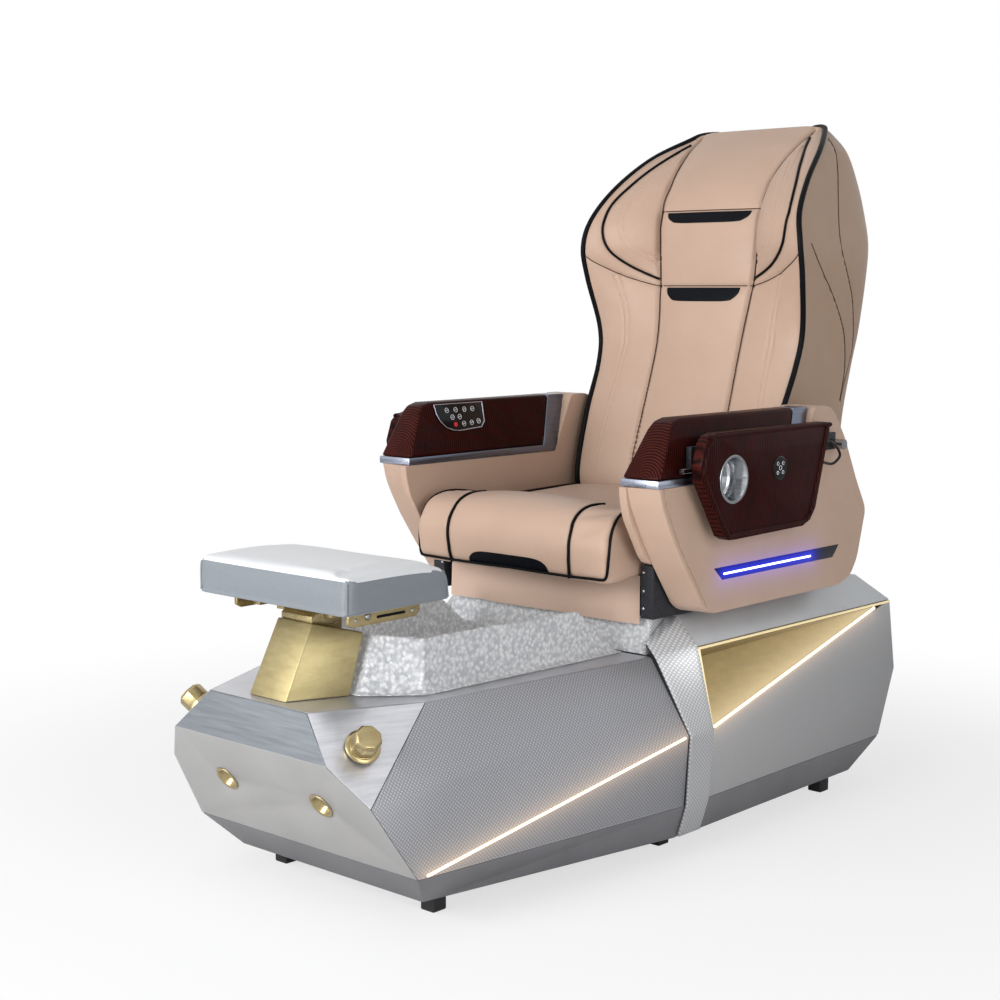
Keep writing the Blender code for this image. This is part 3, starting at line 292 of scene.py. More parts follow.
coats = {  # dark, light, roughness, grain in mm, relief depth, relief strength, more sockets
    "blackWelt": ("#060607", "#121215", 0.42, 5.0, 0.0006, 0.5, {"Specular IOR Level": 0.06}),  # vinyl: fine wrinkles
    "crinkleBlack": ("#08080A", "#36373D", 0.50, 3.0, 0.0020, 0.9, {"Specular IOR Level": 0.22}),  # powder coat
    "blackAcrylic": ("#08080A", "#101014", 0.20, 40.0, 0.0002, 0.1,
                     {"Coat Weight": 0.1, "Specular IOR Level": 0.2}),  # cast sheet: smooth, glossy
    "blackLining": ("#05060A", "#0E1016", 0.42, 4.0, 0.0006, 0.4, {"Specular IOR Level": 0.07}),  # mesh cloth: deep
    "rubberBlack": ("#101011", "#1C1C1E", 0.75, 2.0, 0.0006, 0.5),  # moulded: matt
    "whiteAbs": ("#D9DADB", "#ECEDEE", 0.30, 5.0, 0.0003, 0.2),  # moulded: even, half gloss
    "greyVinyl": ("#6C7278", "#7C8288", 0.50, 2.6, 0.0008, 0.35, {"Sheen Weight": 0.1}),  # grained cover, dull
    "topVinylPaintedLight": ("#D4D6D8", "#E4E6E8", 0.48, 2.6, 0.0008, 0.30, {"Sheen Weight": 0.1}),  # its top, paler as painted light from above
    "markWhite": ("#D5D8DC", "#F2F4F6", 0.45, 2.0, 0.0001, 0.1),  # printed ink: flat
    "markRed": ("#C41220", "#E0303A", 0.40, 2.0, 0.0001, 0.1),  # moulded key: bright
}
(blackWelt, crinkleBlack, blackAcrylic, blackLining, rubberBlack, whiteAbs, greyVinyl, topVinylPaintedLight, markWhite,
 markRed) = (makeCoat(name, *row) for name, row in coats.items())
print("finishes made")


# Modelling helpers
def newObject(name, data):
    made = bpy.data.objects.new(name, data)
    scene.collection.objects.link(made)
    return made


def place(work, name, body, finishes, replaced=(), smooth=32.0):
    mesh = bpy.data.meshes.new(name)
    work.to_mesh(mesh)
    work.free()
    piece = newObject(name, mesh)
    for finish in finishes:
        mesh.materials.append(finish)
    mesh.polygons.foreach_set("use_smooth", [True] * len(mesh.polygons))
    mesh.set_sharp_from_angle(angle=math.radians(smooth))
    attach(piece, body)
    if replaced:
        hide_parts(*replaced)
    return piece


def rounded(work, edges, width, segments=2):
    bmesh.ops.bevel(work, geom=edges, offset=width, offset_type="OFFSET", segments=segments, profile=0.5,
                    affect="EDGES", clamp_overlap=True, material=-1)


def outward(work):
    bmesh.ops.recalc_face_normals(work, faces=work.faces)


def thickened(work, thick):
    bmesh.ops.solidify(work, geom=work.faces[:], thickness=thick)
    outward(work)


def newVerts(grown):
    # the vertices that an extrusion added
    return [g for g in grown["geom"] if isinstance(g, bmesh.types.BMVert)]


def drawnOut(work, faces, shift):
    # faces drawn out into a body
    bmesh.ops.translate(work, vec=shift, verts=newVerts(bmesh.ops.extrude_face_region(work, geom=faces)))
    outward(work)


def inOrder(work):
    # edges and faces sorted by their vertices, as extruding leaves them in an order that changes from run to run
    work.verts.index_update()
    for items in (work.edges, work.faces):
        for i, item in enumerate(sorted(items, key=lambda piece: sorted(v.index for v in piece.verts))):
            item.index = i
        items.sort()


def openEdges(work):
    return [e for e in work.edges if e.is_boundary]


def grownRim(work):
    # a row of vertices drawn out from the open edges
    return newVerts(bmesh.ops.extrude_edge_only(work, edges=openEdges(work)))


def curveAt(p0, p1, p2, p3, f):
    # Catmull-Rom between the two middle knots
    return 0.5 * (2 * p1 + (p2 - p0) * f + (2 * p0 - 5 * p1 + 4 * p2 - p3) * f * f
                  + (3 * p1 - p0 - 3 * p2 + p3) * f ** 3)


def softened(node, width, segments=2, angle=20.0):
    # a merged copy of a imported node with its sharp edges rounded
    work = bmesh.new()
    work.from_mesh(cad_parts[node].data)
    bmesh.ops.remove_doubles(work, verts=work.verts, dist=0.00002)
    bmesh.ops.dissolve_limit(work, angle_limit=math.radians(0.6), verts=work.verts, edges=work.edges)
    sharp = [e for e in work.edges if e.is_manifold and e.calc_face_angle() > math.radians(angle)]
    rounded(work, sharp, width, segments)
    return work


def modified(work, kind, **settings):
    # the same body after one modifier
    mesh = bpy.data.meshes.new("changedBody")
    work.to_mesh(mesh)
    work.free()
    body = newObject("changedBody", mesh)
    change = body.modifiers.new("change", kind)
    for key, value in settings.items():
        setattr(change, key, value)
    bpy.context.view_layer.update()
    result = bmesh.new()
    result.from_object(body, bpy.context.evaluated_depsgraph_get())
    bpy.data.objects.remove(body, do_unlink=True)
    bpy.data.meshes.remove(mesh)
    return result


def refined(work):
    # a cover with its faces split and smoothed
    return modified(work, "SUBSURF", levels=1, render_levels=1)


def gridMesh(columns, rows):
    # a flat grid from -1 to 1 both ways, to be laid out vertex by vertex
    work = bmesh.new()
    bmesh.ops.create_grid(work, x_segments=columns, y_segments=rows, size=1.0)
    return work


def smoothLine(points, count, closed=False):
    # Catmull-Rom through the points, sampled evenly by knot
    pts = [Vector(p) for p in points]
    ring = len(pts)
    spans = ring if closed else ring - 1
    out = []
    for i in range(count):
        t = spans * i / (count if closed else count - 1)
        k = min(int(t), spans - 1)
        f = t - k
        if closed:
            p0, p1, p2, p3 = (pts[(k + j) % ring] for j in (-1, 0, 1, 2))
        else:
            p0, p1, p2, p3 = pts[max(k - 1, 0)], pts[k], pts[k + 1], pts[min(k + 2, ring - 1)]
        out.append(curveAt(p0, p1, p2, p3, f))
    return out


def mirrored(points):
    return [Vector((-p[0], p[1], p[2])) for p in points]


def tubeMesh(lines, radius, corners=3, closed=False):
    # round cords along one or more lines, as one bmesh
    work = bmesh.new()
    for line in lines:
        shape = bpy.data.curves.new("cordShape", "CURVE")
        shape.dimensions = "3D"
        shape.bevel_depth = radius
        shape.bevel_resolution = corners
        shape.use_fill_caps = True
        run = shape.splines.new("POLY")
        run.points.add(len(line) - 1)
        for knot, spot in zip(run.points, line):
            knot.co = (spot[0], spot[1], spot[2], 1.0)
        run.use_cyclic_u = closed
        holder = newObject("cordShape", shape)
        bpy.context.view_layer.update()
        mesh = bpy.data.meshes.new_from_object(holder.evaluated_get(bpy.context.evaluated_depsgraph_get()))
        work.from_mesh(mesh)
        bpy.data.objects.remove(holder, do_unlink=True)
        bpy.data.curves.remove(shape)
        bpy.data.meshes.remove(mesh)
    bmesh.ops.remove_doubles(work, verts=work.verts, dist=0.00001)
    outward(work)
    return work


def cord(lines, radius, corners, name, body, finish, closed=False, smooth=60.0):
    # round cords placed as one piece
    place(tubeMesh(lines, radius, corners, closed), name, body, [finish], smooth=smooth)


def stitchMesh(lines, pitch=0.0052, length=0.0036, thick=0.0008):
    # short thread ends laid along each line
    work = bmesh.new()
    for line in lines:
        pts = [Vector(p) for p in line]
        carry = 0.0
        for a, b in zip(pts, pts[1:]):
            step = (b - a).length
            if step < 1e-6:
                continue
            way = (b - a) / step
            at = pitch - carry
            while at < step:
                turn = way.to_track_quat("X", "Z").to_matrix().to_4x4()
                lie = Matrix.Translation(a + way * at) @ turn @ Matrix.Diagonal((length / 2, thick, thick, 1.0))
                bmesh.ops.create_icosphere(work, subdivisions=1, radius=1.0, matrix=lie)
                at += pitch
            carry = step - (at - pitch)
    return work


def plateMesh(outline, span, width=0.0, segments=2):
    # an outline in Y and Z drawn out across X, with rounded edges
    work = bmesh.new()
    face = work.faces.new([work.verts.new((span[0], y, z)) for y, z in outline])
    drawnOut(work, [face], (span[1] - span[0], 0.0, 0.0))
    if width > 0.0:
        rounded(work, list(work.edges), width, segments)
    return work


def tag(work, test, index):
    for face in work.faces:
        if test(face):
            face.material_index = index
    return work


# Camera, floor and studio light
cameraSet = {"place": (2.30057, -2.67893, 1.09076), "tilt": 83.0666, "turn": 42.3741, "lens": 63.36}
eye = bpy.data.cameras.new("eye")
eye.lens = cameraSet["lens"]
eye.sensor_width = 36.0
eyeObject = newObject("eye", eye)
eyeObject.location = cameraSet["place"]
eyeObject.rotation_euler = (math.radians(cameraSet["tilt"]), 0.0, math.radians(cameraSet["turn"]))
scene.camera = eyeObject

floorSet = {"size": 30.0, "near": 0.7, "far": 2.2, "least": 0.66}
work = bmesh.new()
bmesh.ops.create_grid(work, x_segments=1, y_segments=1, size=floorSet["size"])
floorMesh = bpy.data.meshes.new("floor")
work.to_mesh(floorMesh)
work.free()
floor = newObject("floor", floorMesh)
floor.location = (0.0, 0.0, -0.0005)
paleFloor, tree, shader, coords = newFinish("paleFloor", {"Base Color": (0.90, 0.90, 0.90, 1.0), "Roughness": 0.85})
away = addNode(tree, "VectorMath", {"operation": "LENGTH"}, {0: coords})
fade = addNode(tree, "MapRange", {"interpolation_type": "SMOOTHSTEP", "From Min": floorSet["near"],
                                  "From Max": floorSet["far"], "To Min": floorSet["least"]},
               {"Value": away.outputs["Value"]})
lit = addNode(tree, "Emission", {"Color": (1.0, 1.0, 1.0, 1.0), "Strength": 1.0})
straight = addNode(tree, "LightPath")
share = addNode(tree, "Math", {"operation": "MULTIPLY"}, {0: fade, 1: straight.outputs["Is Camera Ray"]})
joined = addNode(tree, "MixShader", {}, {0: share, 1: shader, 2: lit})
tree.links.new(joined.outputs[0], tree.nodes["Material Output"].inputs["Surface"])
floorMesh.materials.append(paleFloor)

studio = bpy.data.worlds.new("studio")
scene.world = studio
studio.use_nodes = True
tree = studio.node_tree
ambient = tree.nodes["Background"]
ambient.inputs["Color"].default_value = (0.95, 0.97, 1.0, 1.0)
ambient.inputs["Strength"].default_value = 0.34
seen = addNode(tree, "Background", {"Color": (1.0, 1.0, 1.0, 1.0), "Strength": 1.0})
ray = addNode(tree, "LightPath")
chosen = addNode(tree, "Math", {"operation": "MAXIMUM"},
                 {0: ray.outputs["Is Camera Ray"], 1: ray.outputs["Is Transmission Ray"]})
shown = addNode(tree, "Math", {"operation": "MAXIMUM"}, {0: chosen, 1: ray.outputs["Is Glossy Ray"]})
backdrop = addNode(tree, "MixShader", {}, {0: shown, 1: ambient, 2: seen})
tree.links.new(backdrop.outputs[0], tree.nodes["World Output"].inputs["Surface"])

lamps = {
    "front": {"place": (-0.6, -4.4, 1.7), "aim": (0.0, 0.0, 0.75), "size": 2.6, "power": 190.0},
    "side": {"place": (4.0, -1.6, 1.5), "aim": (0.0, 0.0, 0.6), "size": 2.4, "power": 74.0},
    "top": {"place": (-0.4, -0.6, 4.4), "aim": (0.0, 0.0, 0.5), "size": 2.6, "power": 14.0},
}
for name, spec in lamps.items():
    light = bpy.data.lights.new(name, "AREA")
    light.size = spec["size"]
    light.energy = spec["power"]
    holder = newObject(name, light)
    holder.location = spec["place"]
    holder.rotation_euler = (Vector(spec["aim"]) - Vector(spec["place"])).to_track_quat("-Z", "Y").to_euler()
print("camera and light set")

# Base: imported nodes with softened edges, each row node, piece, body, finish, slot, edge width, segments
plainPieces = [
    ("skirt", "skirtSheet", "base", charcoalLaminate, "skirt_dark", 0.0020, 2),
    ("rear_shell", "rearSheet", "base", rearTwill, "satin_sheet", 0.0020, 2),
    ("front_deck", "frontDeckSheet", "base", brushedAluminium, "brushed_plate", 0.0020, 2),
    ("footrest_pedestal", "footPost", "base", satinGold, "gold_metal", 0.0025, 2),
    ("footrest_hinge", "footHinge", "base", anodisedGold, "gold_metal", 0.0008, 2),
    ("footrest_bracket", "footBracket", "footrest", anodisedGold, "gold_metal", 0.0008, 2),
    ("jet_cover", "jetRing", "base", whiteAbs, "white_plastic", 0.0015, 2),
    ("jet_impeller", "jetRotor", "impeller", polishedSteel, "bright_steel", 0.0005, 2),
    ("drain_stopper", "drainPlug", "stopper", polishedSteel, "bright_steel", 0.0008, 2),
    ("base_frame", "floorPan", "base", railSteel, "frame_steel", 0.0010, 2),
    ("seat_frame", "seatCradle", "carriage", crinkleBlack, "frame_black", 0.0020, 2),
    ("tray_keypad", "trayPad", "side_tray_left", blackAcrylic, "black_gloss", 0.0004, 2),
]
pairedPieces = [
    ("corner_plate_", "cornerSheet_", "base", brushedAluminium, "brushed_plate", 0.0015, 2),
    ("gold_niche_", "niche_", "base", nicheGold, "gold_metal", 0.0006, 1),
    ("front_pull_", "fingerPull_", "base", anodisedGold, "gold_metal", 0.0005, 1),
    ("slide_rail_", "runnerRail_", "base", railSteel, "bright_steel", 0.0015, 2),
    ("tray_bracket_", "trayCarrier_", "arm_", crinkleBlack, "frame_black", 0.0006, 2),
    ("cup_holder_", "cupWell_", "side_tray_", polishedSteel, "bright_steel", 0.0004, 1),
]
for row in ("front_", "mid_", "rear_"):
    pairedPieces.append(("foot_" + row, "stand_" + row, "base", rubberBlack, "foot_rubber", 0.0030, 2))
for word, side in sides:
    for node, piece, body, finish, slotName, width, segments in pairedPieces:
        holder = body + word if body.endswith("_") else body
        plainPieces.append((node + word, piece + word, holder, finish, slotName, width, segments))
for node, piece, body, finish, slotName, width, segments in plainPieces:
    place(softened(node, width, segments), piece, body, [finish], [node])

# Sheets of two finishes, straps, lamps and knobs
sheetEdge = 0.0020
knobSet = {"edge": 0.0010, "grow": 1.26, "bodies": {"left": "mixer_knob", "right": "drain_knob"}}
strapSet = {"fore": [(0.266, 0.412), (0.275, 0.400), (0.289, 0.384), (0.377, 0.245), (0.369, 0.106),
                     (0.349, 0.042)],
            "rear": [(0.266, 0.457), (0.287, 0.455), (0.338, 0.402), (0.380, 0.240), (0.369, 0.106),
                     (0.349, 0.042)],
            "ends": (-0.0325, 0.0375), "thick": 0.0048, "steps": 8, "across": 10, "edge": 0.0012}


def strapMesh(side):
    # a strap drawn between its front and rear lines, so that it twists smoothly over the shoulder
    spans = len(strapSet["fore"]) - 1
    work = gridMesh(strapSet["across"], spans * strapSet["steps"])
    for v in work.verts:
        share = 0.5 * (v.co.x + 1.0)
        down = 0.5 * (v.co.y + 1.0) * spans
        k = min(int(down + 1e-4), spans - 1)
        fore, rear = (Vector(strapSet[key][k]).lerp(Vector(strapSet[key][k + 1]), down - k)
                      for key in ("fore", "rear"))
        x, z = fore.lerp(rear, share)
        v.co = (side * x, strapSet["ends"][0] + (strapSet["ends"][1] - strapSet["ends"][0]) * share, z)
    outward(work)
    if sum(f.normal.x for f in work.faces) * side < 0:
        bmesh.ops.reverse_faces(work, faces=work.faces)
    thickened(work, strapSet["thick"])
    rims = [e for e in work.edges if e.is_manifold and e.calc_face_angle() > 1.0]
    rounded(work, rims, strapSet["edge"])
    return work


work = tag(softened("front_panel", sheetEdge), lambda f: f.normal.z > 0.3 and f.normal.y < 0, 1)
place(work, "frontSheet", "base", [satinLaminate, darkBrushed], ["front_panel"])
work = tag(softened("seat_deck", sheetEdge), lambda f: f.normal.y < -0.5, 1)
place(work, "seatDeckSheet", "base", [deckLaminate, crystal], ["seat_deck"])
for word, side in sides:
    # downward faces take the paler twill as painted light
    work = tag(softened("side_panel_" + word, 0.0015, 2, 12.0), lambda f: f.normal.z < -0.12, 1)
    place(work, "sideSheet_" + word, "base", [twillPanel, underTwillPaintedLight], ["side_panel_" + word])
    place(strapMesh(side), "strap_" + word, "base", [hatchedStrap], ["centre_band_" + word])
    for lamp in (sideLamp, nicheLamp):
        ends = barEnds(lamp["node"] + word)
        line = [ends[0].lerp(ends[1], lamp["long"] * t / 12) for t in range(13)]
        place(tubeMesh([line], lamp["thick"], 3), lamp["node"].replace("_", "") + "_" + word, "base",
              [warmDiffuser], [lamp["node"] + word])
    work = softened("knob_" + word, knobSet["edge"])
    middle = sum((v.co for v in work.verts), Vector()) / len(work.verts)
    bmesh.ops.scale(work, vec=[knobSet["grow"]] * 3, space=Matrix.Translation(-middle), verts=work.verts)
    place(work, "valveKnob_" + word, knobSet["bodies"][word], [anodisedGold], ["knob_" + word])


# Screw heads: flattened domes on the footrest hinge, its rails and the seat posts
def screwHeads(spots, way, radius):
    work = bmesh.new()
    turn = Vector(way).to_track_quat("Z", "Y").to_matrix().to_4x4()
    flat = 0.36 * radius
    for spot in spots:
        lie = Matrix.Translation(spot) @ turn @ Matrix.Diagonal((1.0, 1.0, 0.5, 1.0))
        made = bmesh.ops.create_uvsphere(work, u_segments=14, v_segments=8, radius=radius, matrix=lie)
        for v in made["verts"]:
            v.co -= Vector(way) * max(0.0, (v.co - Vector(spot)).dot(Vector(way)) - flat)
    return work


axle = (0.150, -0.655, 0.533)
screwRows = {
    "lugScrews": {"body": "footrest", "way": (0.0, -1.0, 0.0), "radius": 0.0040,
                  "spots": [(x, -0.6675, 0.5300) for x in (-0.128, -0.062, 0.062, 0.128)]},
    "axleCapLeft": {"body": "base", "way": (1.0, 0.0, 0.0), "radius": 0.0052, "spots": [axle]},
    "axleCapRight": {"body": "base", "way": (-1.0, 0.0, 0.0), "radius": 0.0052, "spots": mirrored([axle])},
    "postScrews": {"body": "carriage", "way": (0.0, -1.0, 0.0), "radius": 0.0030,
                   "spots": [(side * 0.268, -0.0450, z) for word, side in sides for z in (0.478, 0.512, 0.548)]},
}
for word, side in sides:
    screwRows["padRailScrews_" + word] = {"body": "footrest", "way": (side, 0.0, 0.0), "radius": 0.0036,
                                          "spots": [(side * 0.150, y, 0.5295) for y in (-0.682, -0.548)]}
for name, row in screwRows.items():
    place(screwHeads(row["spots"], row["way"], row["radius"]), name, row["body"], [polishedSteel],
          smooth=40.0)

# Gold rails under the foot pad, returns inside the straps, bright beads along each niche's top and front edges
railSet = {"line": [(-0.700, 0.5412), (-0.700, 0.5240), (-0.690, 0.5180), (-0.540, 0.5180), (-0.530, 0.5260),
                    (-0.530, 0.5412)], "x": (0.1425, 0.1500), "edge": 0.0008,
           "slot": [(-0.634, 0.5270), (-0.566, 0.5270), (-0.566, 0.5320), (-0.634, 0.5320)],
           "slotX": (0.1490, 0.1504), "slotEdge": 0.0003}
returnSet = {"line": [(-0.0325, 0.385), (-0.0325, 0.4120), (-0.0240, 0.4120), (-0.0085, 0.4556), (0.0370, 0.4560),
                      (0.0370, 0.385)], "x": (0.2606, 0.2645), "edge": 0.0006}
beadSet = {"radius": 0.0028, "top": [(0.3385, 0.0400, 0.3975), (0.3497, 0.7330, 0.3985)],
           "fore": [(0.3385, 0.0400, 0.3960), (0.3730, 0.0400, 0.2480)]}
for word, side in sides:
    work = plateMesh(railSet["line"], [side * x for x in railSet["x"]], railSet["edge"])
    place(work, "padRail_" + word, "footrest", [anodisedGold], smooth=40.0)
    # a black plate on each rail's slot: painted shade in the opening
    work = plateMesh(railSet["slot"], [side * x for x in railSet["slotX"]], railSet["slotEdge"], 1)
    place(work, "padRailSlotShade_" + word, "footrest", [blackLining])
    work = plateMesh(returnSet["line"], [side * x for x in returnSet["x"]], returnSet["edge"])
    place(work, "strapReturn_" + word, "base", [hatchedStrap])
    beads = []
    for key in ("top", "fore"):
        ends = [Vector((side * x, y, z)) for x, y, z in beadSet[key]]
        beads.append([ends[0].lerp(ends[1], t / 20) for t in range(21)])
    cord(beads, beadSet["radius"], 2, "nicheBead_" + word, "base", litGold, smooth=50.0)
print("base dressed")

# Arms: leather body, trim, wood cap, lens with a lit line, hinged tray
armSet = {"in": 0.280, "out": 0.365, "top": 0.847, "cap": 0.7374}
armRear = [(0.603, 0.620), (0.560, 0.690), (0.515, 0.775), (0.470, 0.834), (0.445, 0.847), (0.3905, 0.847),
           (0.3333, 0.7216)]
armSide = [(-0.124, 0.7216), (-0.117, 0.690), (-0.100, 0.655), (-0.074, 0.610), (-0.044, 0.566), (0.018, 0.480),
           (0.048, 0.467), (0.500, 0.467), (0.545, 0.480), (0.572, 0.515)] + armRear
armLining = [(-0.1400, 0.7216), (-0.1380, 0.700), (-0.1280, 0.662), (-0.0780, 0.580), (-0.0600, 0.567),
             (0.5860, 0.567)] + armRear
armLamp = {"y": (0.079, 0.386), "z": 0.5415, "half": 0.0020, "skin": (0.0006, 0.0024), "edge": 0.0006,
           "throw": (0.017, "#5A48FF", 0.60), "lens": (0.014, "#2732E8", 1.1)}
lampEnds = {side: tuple((side * armSet["out"], y, armLamp["z"]) for y in armLamp["y"]) for word, side in sides}
armLeather = {side: makeLeather("armLeather" + word.title(), leatherFinish["face"], leatherFinish["deep"],
                                [lampEnds[side] + armLamp["throw"]]) for word, side in sides}


# Smoked acrylic lens, lit blue round its lamp line
def makeLens(name, side):
    made, tree, shader, coords = newFinish(name, {"Base Color": hexLinear("#08080B"), "Roughness": 0.14,
                                                  "Specular IOR Level": 0.25})
    addGlow(tree, shader, coords, [lampEnds[side] + armLamp["lens"]])
    return made


slabSet = {"body": {"lead": 0.013, "corner": 0.016, "edge": 0.0075},
           "lining": {"lead": 0.0, "corner": 0.012, "edge": 0.0060}}


def leatherSlab(outline, side, low, high, lead, corner, edge):
    # an outline across the arm's width, its corners and rims rounded like a stuffed cover
    work = plateMesh(outline, (low, high))
    for v in work.verts:
        if abs(v.co.x - low) < 1e-5 and v.co.y < 0.05:
            v.co.y -= lead
    seat = {(round(y, 4), round(z, 4)) for y, z in (outline[0], outline[-1])}
    lines = [e for e in work.edges if abs(e.verts[0].co.x - e.verts[1].co.x) > 0.5 * (high - low)
             and not any((round(v.co.y, 4), round(v.co.z, 4)) in seat for v in e.verts)
             and e.calc_face_angle() > 0.12]
    rounded(work, lines, corner, 4)
    rims = [e for e in work.edges if abs(e.verts[0].co.x - e.verts[1].co.x) < 1e-6]
    rounded(work, rims, edge, 4)
    if side < 0:
        bmesh.ops.scale(work, vec=(-1.0, 1.0, 1.0), verts=work.verts)
    outward(work)
    return work


def capFace(y, z, lift):
    # a spot on the inner slope of the right arm's cap
    t = (z - armSet["cap"]) / (armSet["top"] - armSet["cap"])
    way = Vector((-0.9731, 0.0, 0.2306))
    spot = Vector((0.278 + 0.026 * t, y, z)) + way * lift
    return Vector((-spot.x, spot.y, spot.z))


def circleLine(spotAt, y, z, radius, count=20):
    return [spotAt(y + radius * math.cos(2 * math.pi * i / count), z + radius * math.sin(2 * math.pi * i / count))
            for i in range(count)]


trayIron = {"peg": [(0.380, y, 0.752) for y in (-0.0790, -0.0775, -0.0700, -0.0300)],
            "grip": [(x, 0.447, 0.769) for x in (0.3850, 0.4010, 0.4030)],
            "bail": [(0.385, 0.388, 0.778), (0.399, 0.400, 0.777), (0.400, 0.426, 0.762), (0.400, 0.434, 0.745),
                     (0.399, 0.408, 0.732), (0.384, 0.392, 0.736)]}
traySet = {"hinge": 0.803, "heart": (0.0, 0.150, 0.730), "inset": 0.0125, "face": 0.4128, "bead": 0.0045,
           "outline": [(-0.0650, 0.040), (-0.0610, 0.070), (0.0090, 0.178), (0.0260, 0.186), (0.0450, 0.187),
                       (0.2790, 0.184), (0.3060, 0.174), (0.3240, 0.152), (0.3710, -0.002), (0.3690, -0.013),
                       (0.3560, -0.018), (-0.0190, -0.018), (-0.0380, -0.013), (-0.0510, 0.0)]}
for word, side in sides:
    body = "arm_" + word
    work = tag(softened("arm_cap_" + word, 0.0060, 4), lambda f: f.normal.y < -0.45, 1)
    place(work, "armCap_" + word, body, [mahogany, mahoganyArc[side]], ["arm_cap_" + word], 40.0)
    work = softened("arm_trim_" + word, 0.0012)
    bmesh.ops.bisect_plane(work, geom=work.verts[:] + work.edges[:] + work.faces[:], plane_co=(0.0, 0.30, 0.0),
                           plane_no=(0.0, 1.0, 0.0))
    tag(work, lambda f: f.normal.x * side < -0.5 or f.normal.z > 0.4 or f.calc_center_median().y > 0.30, 1)
    place(work, "armTrim_" + word, body, [satinSilver, shadedSilver], ["arm_trim_" + word])
    work = leatherSlab(armSide, side, armSet["in"] + 0.0170, armSet["out"], **slabSet["body"])
    place(work, "armBody_" + word, body, [armLeather[side]], ["arm_body_" + word], 50.0)
    work = leatherSlab(armLining, side, armSet["in"], armSet["in"] + 0.0180, **slabSet["lining"])
    place(work, "armLining_" + word, body, [tanLeather], smooth=50.0)
    # seam and stitches down the front edge; the seam cord's darker leather is painted shade along the seam
    run = smoothLine([(side * (armSet["out"] + 0.0002), y + 0.0115, z) for y, z in armSide[:6]], 90)
    cord([run], 0.0011, 2, "armSeam_" + word, body, shadedShellLeather)
    row = [p + Vector((0.0, 0.0055, 0.0)) for p in run]
    place(stitchMesh([row]), "armStitching_" + word, body, [paleThread], smooth=80.0)
    place(softened("arm_light_" + word, armLamp["edge"]), "armLens_" + word, body,
          [makeLens("litLens" + word.title(), side)], ["arm_light_" + word])
    (y0, y1), z, half = armLamp["y"], armLamp["z"], armLamp["half"]
    bar = [(y0, z - half), (y1, z - half), (y1, z + half), (y0, z + half)]
    work = plateMesh(bar, [side * (armSet["out"] + lift) for lift in armLamp["skin"]], armLamp["edge"])
    place(work, "armLampLine_" + word, body, [coolDiffuser])
    # chrome sleeves on the peg and the grip, and the wire bail behind the tray
    peg, grip, bail = ([(side * x, y, z) for x, y, z in trayIron[key]] for key in ("peg", "grip", "bail"))
    cord([peg], 0.0056, 4, "trayPeg_" + word, body, polishedSteel, smooth=50.0)
    cord([grip], 0.0106, 5, "trayGrip_" + word, body, polishedSteel, smooth=50.0)
    cord([smoothLine(bail, 60)], 0.0028, 3, "trayBail_" + word, body, blackAcrylic)

    tray = "side_tray_" + word
    place(softened("tray_" + word, 0.0045, 4), "trayBoard_" + word, tray, [mahogany], ["tray_" + word],
          40.0)
    ring = []
    for y, drop in traySet["outline"]:
        spot = Vector((0.0, y, traySet["hinge"] - drop))
        ring.append(spot + (Vector(traySet["heart"]) - spot).normalized() * traySet["inset"])
    bead = [Vector((side * traySet["face"], p.y, p.z)) for p in smoothLine(ring, 200, True)]
    cord([bead], traySet["bead"], 4, "trayBead_" + word, tray, mahogany, True)

# Bright rim and plain round marks on the control plate
plateLine = [(-0.033, 0.822), (-0.025, 0.807), (-0.010, 0.793), (0.010, 0.786), (0.030, 0.784), (0.098, 0.788),
             (0.110, 0.800), (0.112, 0.841), (-0.036, 0.841)]
panelSet = {"under": -0.0010, "face": 0.0028, "rim": 0.0030, "marks": 0.0033, "edge": 0.0006}
work = bmesh.new()
face = work.faces.new([work.verts.new(capFace(y, z, panelSet["under"])) for y, z in plateLine])
drawnOut(work, [face], capFace(0.0, 0.8, panelSet["face"]) - capFace(0.0, 0.8, panelSet["under"]))
rounded(work, list(work.edges), panelSet["edge"])
place(work, "controlPlate", "arm_right", [blackAcrylic], ["control_panel"])
rim = [capFace(y, z, panelSet["rim"]) for y, z in plateLine]
cord([rim], 0.0014, 3, "controlRim", "arm_right", satinSilver, True)
marks = [(0.000, 0.828), (0.027, 0.828), (0.054, 0.828), (0.079, 0.828), (0.014, 0.813), (0.036, 0.813),
         (0.046, 0.798), (0.070, 0.799), (0.092, 0.801)]
rings = [circleLine(lambda a, b: capFace(a, b, panelSet["marks"]), y, z, 0.0050) for y, z in marks]
cord(rings, 0.0006, 1, "controlRings", "arm_right", markWhite, True)
bars = [[capFace(y + end * 0.0024, z + end * 0.001, panelSet["marks"]) for end in (-1, 1)] for y, z in marks]
cord(bars, 0.0007, 1, "controlBars", "arm_right", markWhite)
dot = [[capFace(0.0205, 0.7975, 0.0022), capFace(0.0205, 0.7975, 0.0036)]]
cord(dot, 0.0052, 4, "controlStop", "arm_right", markRed)

# Five plain marks on the keypad
padAt = (0.193, 0.741)
rings = []
for k in range(5):
    turn = math.radians(45 + 90 * k)
    away, size = (0.0125, 0.0032) if k < 4 else (0.0, 0.0042)
    y, z = padAt[0] + away * math.cos(turn), padAt[1] + away * math.sin(turn)
    rings.append(circleLine(lambda a, b: Vector((0.4162, a, b)), y, z, size))
cord(rings, 0.0006, 1, "keypadMarks", "side_tray_left", markWhite, True)
print("arms dressed")

# Tub: cast pebbles raised over an even mesh
tubSet = {"edge": 0.003, "cell": 0.0042, "pebble": 0.010, "high": 0.0024}
work = modified(softened("tub", tubSet["edge"]), "REMESH", mode="VOXEL", voxel_size=tubSet["cell"])
work.normal_update()
for v in work.verts:
    near = noise.voronoi(v.co / tubSet["pebble"])[0]
    v.co += v.normal * tubSet["high"] * (min(1.0, near[1] - near[0]) - 0.5)
place(work, "crystalTub", "base", [crystal], ["tub"], 70.0)

